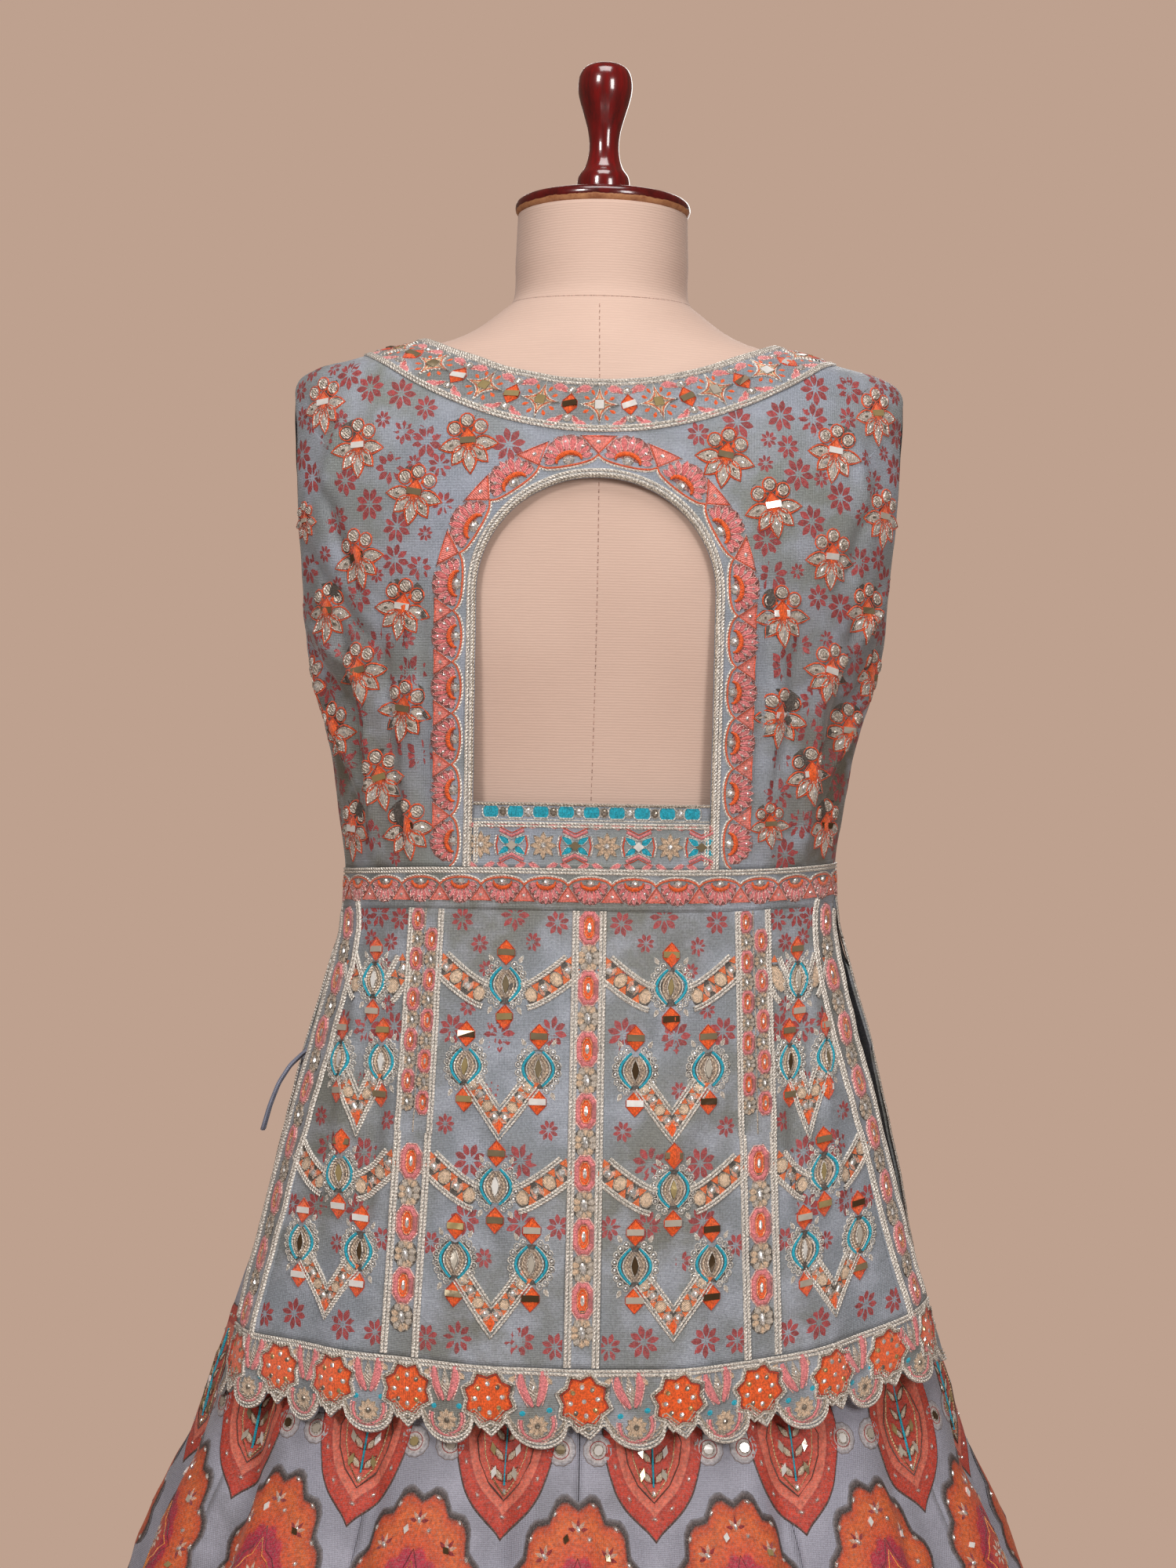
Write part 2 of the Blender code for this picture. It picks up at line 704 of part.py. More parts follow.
def scallop(phase):
    """How far the border's edge hangs below its notches: a point at phase 0 and a round lobe at 0.5."""
    from_point = min(phase, 1 - phase) / POINT_SHARE
    from_round = abs(phase - 0.5) / ROUND_SHARE
    if from_point < 1:
        return POINT_LOBE * (1 - from_point) ** 0.9
    return ROUND_LOBE * math.sqrt(max(0.0, 1 - from_round**2)) if from_round < 1 else 0.0


def build_borders():
    """The border below the gores, its edge in lobes, one piece for the back and one for the front."""
    steps = BORDER_STEPS * BORDER_PERIODS
    top = BORDER_LINE - HALF_SEAM
    for half, left_place, right_place in (
        ("back", "back_left", "back_right"),
        ("front", "front", "front"),
    ):
        rows = [[], [], []]
        for k in range(steps + 1):
            share = k / steps
            low = BORDER_NOTCH - scallop((share * BORDER_PERIODS + 0.5) % 1)
            for row, down in zip(rows, (0, 0.5, 1)):
                z = top + (low - top) * down
                left = -turn_at_x(side_edge(z, left_place), z)
                right = turn_at_x(side_edge(z, right_place), z)
                row.append((left + (right - left) * share, z))
        if half == "front":
            rows = [to_front(row) for row in rows]
        wall(f"hem_border_{half}", top_skin, [rows], -CLOTH, BAND, CORD)


# The skirt

SKIRT_SILK = material("lehenga_silk", (0.55, 0.22, 0.12), 0.55)
LINING = material("plain_lining", (0.29, 0.31, 0.38), 0.60)
SKIRT_COLUMNS = 7
SKIRT_ROWS = [
    WAISTBAND_BOTTOM - SEAM, 0.965, 0.910, 0.850, 0.795, 0.740, 0.690, 0.620, 0.500, 0.270, SKIRT_HEM
]
WAISTBAND = 0.0028

TieRing = namedtuple("TieRing", "z out width")
TIE = [
    TieRing(0.9640, 0.0026, 0.0080),
    TieRing(0.9540, 0.0027, 0.0075),
    TieRing(0.9470, 0.0062, 0.0060),
    TieRing(0.9410, 0.0135, 0.0050),
    TieRing(0.9330, 0.0195, 0.0055),
    TieRing(0.9220, 0.0230, 0.0075),
    TieRing(0.9080, 0.0240, 0.0100),
    TieRing(0.8930, 0.0235, 0.0130),
]
TIE_TURN = math.radians(-81)
TIE_THICK = 0.0026


def gore_edge(k, z, away):
    """The turn of the seam before gore k of the back, moved away metres along the cloth."""
    if k in (0, SKIRT_GORES):
        return math.copysign(side_turn(SKIRT, z), k - 1)
    turn = math.pi * (k / SKIRT_GORES - 0.5)
    step = 1e-3
    return turn + away * step / (skirt_skin(turn + step, z) - skirt_skin(turn, z)).length


def build_skirt():
    """A waistband on the form and the gores that hang from it, in order from the left."""
    turns = [2 * math.pi * k / FORM_SIDES for k in range(FORM_SIDES + 1)]
    rows = [[(turn, z) for turn in turns] for z in (WAISTBAND_TOP, WAISTBAND_BOTTOM)]
    wall("skirt_waistband", form_skin, [rows], SEAM, SEAM + WAISTBAND, LINING)
    for k in range(SKIRT_GORES):
        rows = []
        for z in SKIRT_ROWS:
            left, right = gore_edge(k, z, HALF_SEAM), gore_edge(k + 1, z, -HALF_SEAM)
            rows.append([(turn, z) for turn in spread(left, right, SKIRT_COLUMNS)])
        wall(f"skirt_back_{k + 1}", skirt_skin, [rows], -CLOTH, 0, SKIRT_SILK)
        rows = [to_front(row) for row in rows]
        wall(f"skirt_front_{k + 1}", skirt_skin, [rows], -CLOTH, 0, SKIRT_SILK)


def build_tie():
    """The skirt's folded tie: it lies on the skirt, then leaves it through the peplum's left slit."""
    middles = [on(skirt_skin, TIE_TURN, p.z, p.out) for p in TIE]
    rings = []
    for i, p in enumerate(TIE):
        along = middles[min(i + 1, len(TIE) - 1)] - middles[max(i - 1, 0)]
        aside = Vector((0, p.width / 2, 0))
        across = along.cross(aside).normalized() * TIE_THICK / 2
        corners = (across + aside, across - aside, -across - aside, aside - across)
        rings.append([middles[i] + corner for corner in corners])
    loft("skirt_tie", rings, LINING)


def clear_scene():
    for old in list(bpy.data.objects):
        bpy.data.objects.remove(old, do_unlink=True)


def main():
    clear_scene()
    build_form()
    build_bodice_back()
    build_bodice_front()
    build_yoke_band()
    build_gores()
    build_waist_bands()
    build_strips()
    build_borders()
    build_skirt()
    build_tie()


main()
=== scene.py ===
"""The peplum lehenga's looks: its cloth, embroidery, print and dress form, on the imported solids."""

import math
from collections import namedtuple

import bpy
import numpy as np
from mathutils import Euler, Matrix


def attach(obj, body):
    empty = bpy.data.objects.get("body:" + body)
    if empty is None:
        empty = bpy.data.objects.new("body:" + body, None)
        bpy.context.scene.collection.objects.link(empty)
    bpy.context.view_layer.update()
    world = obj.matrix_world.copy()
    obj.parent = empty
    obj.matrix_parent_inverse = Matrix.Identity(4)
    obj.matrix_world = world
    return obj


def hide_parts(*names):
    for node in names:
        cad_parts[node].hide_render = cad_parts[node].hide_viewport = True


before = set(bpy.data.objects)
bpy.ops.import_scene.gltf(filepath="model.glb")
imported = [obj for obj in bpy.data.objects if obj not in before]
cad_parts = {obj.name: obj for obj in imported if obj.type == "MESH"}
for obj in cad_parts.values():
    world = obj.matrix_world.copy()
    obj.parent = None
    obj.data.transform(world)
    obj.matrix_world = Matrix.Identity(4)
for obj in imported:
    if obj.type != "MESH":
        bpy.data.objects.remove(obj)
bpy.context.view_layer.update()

# Sizes shared with the solids, in metres

CLOTH = 0.0016
HALF_SEAM = 0.0002
SHOULDER_TIP = 1.3665
NECK_POINT = 1.3920
BAND_POINT = 1.3822
UNDERARM = 1.1900
WAIST_SEAM = 1.0625
BORDER_LINE = 0.778
BORDER_NOTCH = 0.748
WAISTBAND_TOP = 1.036
WAISTBAND_BOTTOM = 0.996
SKIRT_HEM = 0.012
NECK_CURVE = 2.1
ARCH_HALF = 0.0722
ARCH_SILL = 1.1016
ARCH_SPRING = 1.2280
ARCH_TOP = 1.2970
BUST_TURN = math.radians(150)
BUST_WIDE = math.radians(27)
BUST_HEIGHT = 1.185
BUST_TALL = 0.085
BUST_PROUD = 0.013
WAIST_BAND_TALL = 0.0255
CENTRE_STRIP = 0.0090
CENTRE_STRIP_GAIN = 0.0022
PRINCESS_LINE = 0.0970
PRINCESS_LINE_GAIN = 0.0080
PRINCESS_STRIP = 0.0105
DOUBLED_STRIP = 0.0130
SIDE_STRIP = 0.0120
SIDE_STRIP_GAIN = 0.0100
BORDER_PERIODS = 11
ROUND_LOBE = 0.0140
POINT_LOBE = 0.0085
ROUND_SHARE = 0.31
POINT_SHARE = 0.17
HITCH = 0.0100
HITCH_FROM = 1.20
HITCH_FULL = 1.06
SIDE_RISE = 0.0120
SIDE_AT = 0.200
SKIRT_FOLDS = 16
FOLD_LEAN = 0.35
WAISTBAND = 0.0028
SKIRT_REPEATS = 7.5
HALVES = ("back", "front")
SIDES = {"left": -1, "right": 1}
ARMHOLES = {"back": math.radians(16), "front": math.radians(22)}

Section = namedtuple("Section", "z half_width back front squareness")
SkirtSection = namedtuple("SkirtSection", "z half_width back front squareness fold")
PanelEdge = namedtuple("PanelEdge", "z back_left back_right front")
Fold = namedtuple("Fold", "turn width proud")
Lathe = namedtuple("Lathe", "radius z")
Crease = namedtuple("Crease", "s0 z0 s1 z1 width depth")
TieRing = namedtuple("TieRing", "z out width")
Drop = namedtuple("Drop", "neck band")
DROPS = {"back": Drop(0.0346, 0.0577), "front": Drop(0.1000, 0.1232)}

FORM = [Section(*row) for row in (
    (1.4742, 0.0540, 0.0540, 0.0540, 2.00), (1.4450, 0.0550, 0.0550, 0.0550, 2.00),
    (1.4190, 0.0562, 0.0570, 0.0560, 2.00), (1.4110, 0.0650, 0.0610, 0.0580, 1.95),
    (1.3980, 0.0840, 0.0670, 0.0605, 1.80), (1.3905, 0.1030, 0.0710, 0.0630, 1.70),
    (1.3842, 0.1290, 0.0738, 0.0655, 1.62), (1.3745, 0.1550, 0.0770, 0.0690, 1.62),
    (1.3610, 0.1755, 0.0812, 0.0730, 1.74), (1.3450, 0.1860, 0.0855, 0.0780, 1.88),
    (1.3200, 0.1905, 0.0910, 0.0860, 2.05), (1.3000, 0.1912, 0.0940, 0.0925, 2.12),
    (1.2700, 0.1885, 0.0955, 0.1040, 2.18), (1.2400, 0.1815, 0.0950, 0.1130, 2.20),
    (1.2000, 0.1700, 0.0910, 0.1180, 2.20), (1.1500, 0.1560, 0.0835, 0.1090, 2.20),
    (1.1000, 0.1430, 0.0775, 0.0970, 2.20), (1.0360, 0.1380, 0.0780, 0.0920, 2.18),
    (0.9960, 0.1450, 0.0865, 0.0960, 2.16), (0.9400, 0.1590, 0.1010, 0.1020, 2.12),
    (0.8800, 0.1690, 0.1110, 0.1050, 2.10), (0.8200, 0.1730, 0.1110, 0.1040, 2.10),
    (0.7600, 0.1690, 0.1050, 0.0990, 2.10), (0.7000, 0.1600, 0.0970, 0.0930, 2.10),
    (0.6650, 0.1510, 0.0910, 0.0890, 2.10), (0.6550, 0.1420, 0.0840, 0.0820, 2.10),
)]

TOP = [Section(*row) for row in (
    (1.3985, 0.0930, 0.0735, 0.0665, 1.72), (1.3942, 0.1035, 0.0750, 0.0675, 1.68),
    (1.3880, 0.1310, 0.0775, 0.0695, 1.62), (1.3800, 0.1580, 0.0810, 0.0725, 1.62),
    (1.3740, 0.1800, 0.0838, 0.0752, 1.72), (1.3665, 0.1915, 0.0868, 0.0783, 1.82),
    (1.3500, 0.1942, 0.0912, 0.0840, 1.95), (1.3300, 0.1946, 0.0958, 0.0905, 2.05),
    (1.3000, 0.1950, 0.0998, 0.0985, 2.14), (1.2700, 0.1932, 0.1010, 0.1095, 2.19),
    (1.2400, 0.1892, 0.1005, 0.1195, 2.20), (1.2135, 0.1858, 0.0988, 0.1235, 2.20),
    (1.1900, 0.1815, 0.0968, 0.1240, 2.20), (1.1700, 0.1762, 0.0948, 0.1210, 2.20),
    (1.1500, 0.1708, 0.0928, 0.1160, 2.20), (1.1300, 0.1655, 0.0910, 0.1115, 2.20),
    (1.1100, 0.1626, 0.0898, 0.1080, 2.20), (1.0900, 0.1595, 0.0892, 0.1060, 2.20),
    (1.0625, 0.1556, 0.0900, 0.1045, 2.18), (1.0335, 0.1570, 0.0945, 0.1075, 2.16),
    (0.9935, 0.1660, 0.1055, 0.1150, 2.14), (0.9535, 0.1775, 0.1175, 0.1240, 2.12),
    (0.9135, 0.1890, 0.1290, 0.1335, 2.10), (0.8735, 0.2000, 0.1390, 0.1425, 2.10),
    (0.8335, 0.2105, 0.1490, 0.1515, 2.10), (0.7935, 0.2215, 0.1590, 0.1610, 2.10),
    (0.7535, 0.2320, 0.1680, 0.1700, 2.10), (0.7200, 0.2410, 0.1755, 0.1780, 2.10),
)]

SIDE_EDGES = [PanelEdge(*row) for row in (
    (1.0625, 0.1560, 0.1560, 0.1560), (1.0200, 0.1560, 0.1525, 0.1590),
    (0.9590, 0.1700, 0.1645, 0.1765), (0.8925, 0.1870, 0.1820, 0.1930),
    (0.8335, 0.2000, 0.1960, 0.2060), (0.7780, 0.2120, 0.2110, 0.2165),
    (0.7200, 0.2210, 0.2270, 0.2280),
)]

PEPLUM_FOLDS = [Fold(*row) for row in (
    (-58, 12, 0.0050), (-36, 10, 0.0035), (-14, 9, 0.0025), (14, 9, 0.0030), (36, 10, 0.0035),
    (58, 12, 0.0050), (122, 13, 0.0060), (150, 12, 0.0040), (180, 12, 0.0040), (210, 12, 0.0040),
    (238, 13, 0.0060),
)]

SKIRT_GORES = 6
SKIRT = [SkirtSection(*row) for row in (
    (0.9960, 0.1500, 0.0912, 0.1005, 2.14, 0.0004), (0.9700, 0.1580, 0.0995, 0.1062, 2.12, 0.0012),
    (0.9200, 0.1730, 0.1170, 0.1220, 2.10, 0.0024), (0.8600, 0.1915, 0.1350, 0.1380, 2.10, 0.0028),
    (0.8000, 0.2125, 0.1490, 0.1510, 2.10, 0.0030), (0.7400, 0.2310, 0.1625, 0.1645, 2.10, 0.0034),
    (0.7000, 0.2430, 0.1735, 0.1755, 2.10, 0.0052), (0.6600, 0.2620, 0.1870, 0.1895, 2.08, 0.0072),
    (0.6130, 0.2790, 0.2040, 0.2065, 2.06, 0.0088), (0.5200, 0.3045, 0.2380, 0.2405, 2.04, 0.0110),
    (0.4000, 0.3350, 0.2810, 0.2840, 2.02, 0.0135), (0.2600, 0.3760, 0.3290, 0.3320, 2.00, 0.0165),
    (0.1200, 0.4140, 0.3730, 0.3760, 2.00, 0.0190), (0.0120, 0.4400, 0.4030, 0.4060, 2.00, 0.0205),
)]


# Camera, light and floor

CAMERA_X = -0.0025
CAMERA_Z = 1.1135
CAMERA_AWAY = 1.60
CAMERA_ROLL = math.radians(1.10)
LENS = 57.6

Lamp = namedtuple("Lamp", "name place aim wide tall power tint")
LAMPS = [
    Lamp("key_left", (-1.5, -2.6, 2.6), (0, 0, 1.05), 0.6, 0.8, 49, (1.0, 0.985, 0.965)),
    Lamp("key_right", (1.5, -2.6, 1.9), (0, 0, 1.05), 0.7, 1.2, 42, (1.0, 0.985, 0.965)),
    Lamp("soft_above", (0.0, -0.9, 3.0), (0, 0, 1.1), 1.2, 0.9, 24, (1.0, 0.99, 0.975)),
    Lamp("fill_front", (0.4, 2.8, 2.1), (0, 0, 1.0), 1.4, 1.6, 20, (1.0, 0.985, 0.965)),
    Lamp("fill_low", (0.0, -2.6, 0.35), (0, 0, 0.75), 2.2, 0.5, 5, (1.0, 0.98, 0.96)),
]


def linear(red, green, blue):
    """A colour from its display values, 0 to 255."""
    shares = [v / 255 for v in (red, green, blue)]
    return tuple(v / 12.92 if v <= 0.04045 else ((v + 0.055) / 1.055) ** 2.4 for v in shares)


BACKGROUND = linear(190, 161, 143)


def new_object(name, data):
    made = bpy.data.objects.new(name, data)
    bpy.context.scene.collection.objects.link(made)
    return made


def build_camera():
    data = bpy.data.cameras.new("camera")
    data.lens = LENS
    data.sensor_width = 36
    data.clip_start = 0.05
    data.clip_end = 50
    camera = new_object("camera", data)
    camera.location = (CAMERA_X, -CAMERA_AWAY, CAMERA_Z)
    camera.rotation_euler = (
        Euler((math.pi / 2, 0, 0)).to_matrix() @ Euler((0, 0, CAMERA_ROLL)).to_matrix()
    ).to_euler()
    bpy.context.scene.camera = camera


def build_lamps():
    for lamp in LAMPS:
        data = bpy.data.lights.new(lamp.name, "AREA")
        data.shape = "RECTANGLE"
        data.size = lamp.wide
        data.size_y = lamp.tall
        data.energy = lamp.power
        data.color = lamp.tint
        made = new_object(lamp.name, data)
        made.location = lamp.place
        towards = np.array(lamp.aim) - np.array(lamp.place)
        across = math.hypot(towards[0], towards[1])
        made.rotation_euler = (
            math.atan2(across, -towards[2]),
            0,
            math.atan2(-towards[0], towards[1]),
        )


# Materials


AMBIENT = 0.27
FLOOR = 1.60


def build_room():
    """A plain studio backdrop, whose light on the set is softer than it looks, and a pale floor."""
    world = bpy.data.worlds.new("studio")
    world.use_nodes = True
    tree = world.node_tree
    backdrop = tree.nodes["Background"]
    backdrop.inputs["Color"].default_value = (*BACKGROUND, 1)
    paths = tree.nodes.new("ShaderNodeLightPath")
    strength = tree.nodes.new("ShaderNodeMapRange")
    strength.inputs["To Min"].default_value = AMBIENT
    strength.inputs["To Max"].default_value = 1.0
    tree.links.new(paths.outputs["Is Camera Ray"], strength.inputs["Value"])
    tree.links.new(strength.outputs["Result"], backdrop.inputs["Strength"])
    bpy.context.scene.world = world
    bpy.context.scene.view_settings.view_transform = "Standard"
    sides, height = 96, -0.001
    angle = round_steps(sides)
    rim = np.column_stack([FLOOR * np.cos(angle), FLOOR * np.sin(angle), np.full(sides, height)])
    points = np.vstack([rim, (0, 0, height)])
    mesh_object("studio_floor", points, [], closing(0, sides, sides), [floor_finish()])


def floor_finish():
    f = Finish("pale_floor")
    place = f.node("ShaderNodeTexCoord").outputs["Object"]
    grain = f.noise(place, 3.0, 4.0)
    f.set(Base_Color=f.mix(grain, linear(206, 184, 168), linear(214, 194, 180)), Roughness=0.7)
    return f.material


class Finish:
    """A material's node tree, built up a node at a time."""

    def __init__(self, name):
        self.material = bpy.data.materials.new(name)
        self.material.use_nodes = True
        self.tree = self.material.node_tree
        self.shader = self.tree.nodes["Principled BSDF"]

    def node(self, kind, settings=None, **inputs):
        made = self.tree.nodes.new(kind)
        for key, value in (settings or {}).items():
            setattr(made, key, value)
        for key, value in inputs.items():
            self.feed(made, key.replace("_", " "), value)
        return made

    def feed(self, node, key, value):
        socket = node.inputs[int(key)] if key.isdigit() else node.inputs[key]
        if isinstance(value, bpy.types.NodeSocket):
            self.tree.links.new(value, socket)
        else:
            socket.default_value = value

    def set(self, **values):
        for key, value in values.items():
            self.feed(self.shader, key.replace("_", " "), value)

    def maths(self, operation, a, b=0.0):
        made = self.tree.nodes.new("ShaderNodeMath")
        made.operation = operation
        for k, value in enumerate((a, b)):
            self.feed(made, str(k), value)
        return made.outputs[0]

    def noise(self, vector, scale, detail, rough=0.55):
        made = self.node("ShaderNodeTexNoise", Scale=scale, Detail=detail, Roughness=rough)
        self.feed(made, "Vector", vector)
        return made.outputs["Fac"]

    def wave(self, vector, scale, direction):
        settings = {"wave_type": "BANDS", "bands_direction": direction}
        made = self.node("ShaderNodeTexWave", settings, Scale=scale, Distortion=0.0)
        self.feed(made, "Vector", vector)
        return made.outputs["Fac"]

    def ramp(self, value, low, high, from_low=0.0, from_high=1.0):
        made = self.tree.nodes.new("ShaderNodeMapRange")
        for key, number in (
            ("From Min", from_low),
            ("From Max", from_high),
            ("To Min", low),
            ("To Max", high),
        ):
            made.inputs[key].default_value = number
        self.feed(made, "Value", value)
        return made.outputs["Result"]

    def mix(self, share, a, b, blend="MIX"):
        made = self.tree.nodes.new("ShaderNodeMix")
        made.data_type = "RGBA"
        made.blend_type = blend
        self.feed(made, "0", share)
        for k, value in ((6, a), (7, b)):
            self.feed(made, str(k), value if isinstance(value, bpy.types.NodeSocket) else (*value, 1))
        return made.outputs[2]

    def bump(self, height, strength, distance):
        made = self.node("ShaderNodeBump", Strength=strength, Distance=distance)
        self.feed(made, "Height", height)
        self.feed(self.shader, "Normal", made.outputs["Normal"])


FLAT = "flat"
TINT = "tint"


def flat_place(finish):
    """The place on the flat cloth, in metres."""
    return finish.node("ShaderNodeUVMap", {"uv_map": FLAT}).outputs["UV"]


def woven(finish, place, scale):
    """The height of a plain weave: two sets of threads that cross."""
    return finish.maths("ADD", finish.wave(place, scale, "X"), finish.wave(place, scale, "Y"))


def silk(name, colours, speckle, rough, sheen, aside=None):
    """A dull figured silk: its ground drifts between colours, with a fine speckle and weave; aside, if
    given, paints shade on it, olive-dark towards its sides and lower down.
    """
    f = Finish(name)
    place = flat_place(f)
    drift = f.ramp(f.noise(place, 9.0, 2.0), 0.0, 1.0, 0.38, 0.62)
    ground = f.mix(drift, colours[0], colours[1])
    cloud = f.ramp(f.noise(place, 34.0, 3.0), 0.0, 0.7, 0.45, 0.66)
    ground = f.mix(cloud, ground, colours[2])
    # Painted shade: the ground turns olive-dark in patches towards the sides and below the chest, where the
    # body turns away from the light
    if aside is not None:
        spots = f.node("ShaderNodeSeparateXYZ")
        f.feed(spots, "Vector", place)
        far = f.ramp(f.maths("ABSOLUTE", spots.outputs["X"]), 0.0, 1.0, aside.near, aside.far)
        low = f.ramp(spots.outputs["Y"], 1.0, 0.0, aside.full, aside.top)
        patch = f.ramp(f.noise(place, 22.0, 3.0, 0.6), 0.0, 1.6, 0.36, 0.62)
        share = f.maths("MULTIPLY", f.maths("MULTIPLY", far, low), f.maths("MINIMUM", patch, 1.0))
        ground = f.mix(share, ground, aside.colour)
    grain = f.noise(place, 700.0, 4.0, 0.7)
    shade = f.ramp(grain, 1 - speckle, 1 + speckle, 0.3, 0.7)
    f.set(Base_Color=f.mix(1.0, ground, grey(f, shade), "MULTIPLY"))
    f.set(Roughness=f.ramp(grain, rough - 0.08, rough + 0.08, 0.3, 0.7))
    f.set(Sheen_Weight=sheen, Sheen_Roughness=0.35)
    f.bump(f.maths("ADD", woven(f, place, 320.0), f.maths("MULTIPLY", grain, 1.5)), 0.45, 0.0004)
    return f.material


def grey(finish, value):
    made = finish.tree.nodes.new("ShaderNodeCombineColor")
    for key in ("Red", "Green", "Blue"):
        finish.feed(made, key, value)
    return made.outputs["Color"]


def tinted(finish, low, high, scale):
    """The mesh's own tint, made lighter and darker in fine grains."""
    tint = finish.node("ShaderNodeVertexColor", {"layer_name": TINT}).outputs["Color"]
    place = finish.node("ShaderNodeTexCoord").outputs["Object"]
    grain = finish.noise(place, scale, 3.0, 0.6)
    shade = finish.ramp(grain, low, high, 0.3, 0.7)
    return finish.mix(1.0, tint, grey(finish, shade), "MULTIPLY"), grain


def thread_finish():
    f = Finish("embroidery_thread")
    colour, grain = tinted(f, 0.50, 1.42, 800.0)
    f.set(Base_Color=colour, Roughness=0.58, Sheen_Weight=0.22, Sheen_Roughness=0.4)
    stitches = f.wave(flat_place(f), 380.0, "X")
    f.bump(f.maths("ADD", stitches, f.maths("MULTIPLY", grain, 1.6)), 0.8, 0.0005)
    return f.material


def zari_finish():
    f = Finish("silver_thread")
    colour, grain = tinted(f, 0.38, 1.80, 1000.0)
    f.set(Base_Color=colour, Metallic=0.45, Roughness=f.ramp(grain, 0.24, 0.48, 0.3, 0.7))
    twist = f.wave(flat_place(f), 300.0, "DIAGONAL")
    f.bump(f.maths("ADD", twist, f.maths("MULTIPLY", grain, 1.8)), 0.95, 0.0006)
    return f.material


def print_finish():
    """Pigment printed on the silk: the cloth shows through it in fine specks."""
    f = Finish("printed_pigment")
    place = flat_place(f)
    colour, _ = tinted(f, 0.52, 1.20, 520.0)
    grain = f.noise(place, 800.0, 4.0, 0.75)
    worn = f.ramp(grain, 0.0, 0.55, 0.50, 0.68)
    f.set(Base_Color=f.mix(worn, colour, linear(136, 128, 124)), Roughness=0.62)
    f.set(Sheen_Weight=0.10, Sheen_Roughness=0.4)
    f.bump(f.maths("ADD", woven(f, place, 320.0), f.maths("MULTIPLY", grain, 1.5)), 0.35, 0.0003)
    return f.material


def gem_finish():
    f = Finish("foiled_stone")
    colour, grain = tinted(f, 0.80, 1.15, 500.0)
    f.set(Base_Color=colour, Metallic=0.60, Roughness=f.ramp(grain, 0.10, 0.26, 0.3, 0.7))
    return f.material


def mirror_finish():
    f = Finish("mirror_glass")
    # The mirror's tint is a painted reflection, bright or dark, on a partly metallic surface
    colour, grain = tinted(f, 0.90, 1.05, 160.0)
    f.set(Base_Color=colour, Metallic=0.45, Roughness=f.ramp(grain, 0.04, 0.14, 0.3, 0.7))
    return f.material


THREAD, ZARI, PRINT, GEM, MIRROR = range(5)
WORK_FINISHES = [thread_finish(), zari_finish(), print_finish(), gem_finish(), mirror_finish()]

# Painted shade on the silk: how far out to the sides and how low it darkens, and the dark olive it takes
# there
PaintedShade = namedtuple("PaintedShade", "near far full top colour")
PAINTED_SIDE_SHADE = PaintedShade(0.085, 0.165, 1.12, 1.30, linear(92, 86, 74))
BLUE_GREY = silk(
    "printed_silk_ground",
    (linear(133, 140, 152), linear(122, 127, 124), linear(152, 158, 173)),
    0.26, 0.46, 0.30, PAINTED_SIDE_SHADE,
)
PEPLUM_GREY = silk(
    "peplum_silk_ground",
    (linear(122, 128, 136), linear(108, 109, 104), linear(152, 157, 169)),
    0.34, 0.46, 0.30,
)
SKIRT_GREY = silk(
    "lehenga_silk_ground",
    (linear(142, 142, 156), linear(130, 130, 140), linear(158, 158, 172)),
    0.16, 0.52, 0.25,
)
LINING = silk(
    "lining_satin",
    (linear(120, 124, 142), linear(110, 114, 134), linear(128, 132, 150)),
    0.06, 0.40, 0.20,
)

# Thread colours
ORANGE = linear(232, 92, 28)
DEEP_ORANGE = linear(214, 72, 34)
PINK = linear(222, 130, 132)
DEEP_PINK = linear(205, 98, 96)
TURQUOISE = linear(24, 164, 188)
SILVER = linear(216, 209, 200)
DULL_SILVER = linear(176, 164, 150)
BEIGE = linear(206, 176, 148)
BRICK = linear(150, 52, 54)
CRYSTAL = linear(226, 224, 222)
SMOKY = linear(150, 140, 128)
GOLD = linear(190, 168, 122)
# Painted shadow: the dark of the flat sheets laid under raised embroidery, where shade would fall round it
PAINTED_SHADOW = linear(70, 62, 56)
PALE_PINK = linear(226, 180, 172)
FILIGREE = linear(184, 172, 160)


# Surfaces, as the solids have them


def row_at(table, z):
    """The table's columns at heights z, on a smooth curve through its rows."""
    rows = {c: np.array([getattr(r, c) for r in table]) for c in table[0]._fields}
    z = np.asarray(z, float)
    heights, last = rows["z"], len(table) - 1
    here = np.clip(np.searchsorted(-heights, -z) - 1, 0, last - 1)
    after = here + 1
    before, beyond = np.maximum(here - 1, 0), np.minimum(here + 2, last)
    span = heights[after] - heights[here]
    share = (z - heights[here]) / span
    s2, s3 = share**2, share**3
    found = {}
    for name, v in rows.items():
        slope_in = span * (v[after] - v[before]) / (heights[after] - heights[before])
        slope_out = span * (v[beyond] - v[here]) / (heights[beyond] - heights[here])
        found[name] = (
            (2 * s3 - 3 * s2 + 1) * v[here]
            + (s3 - 2 * s2 + share) * slope_in
            + (3 * s2 - 2 * s3) * v[after]
            + (s3 - s2) * slope_out
        )
    return found


def signed_power(base, exponent):
    return np.sign(base) * np.abs(base) ** exponent


def section_point(table, turn, z):
    row = row_at(table, z)
    depth = np.where(np.cos(turn) > 0, row["back"], row["front"])
    power = 2 / row["squareness"]
    x = row["half_width"] * signed_power(np.sin(turn), power)
    y = -depth * signed_power(np.cos(turn), power)
    return np.stack([x, y, z + 0 * turn], -1)


def hump(away, reach):
    return np.cos(np.minimum(1.0, np.abs(away) / reach) * math.pi / 2) ** 2


def turn_away(turn, middle):
    return (turn - middle + math.pi) % (2 * math.pi) - math.pi


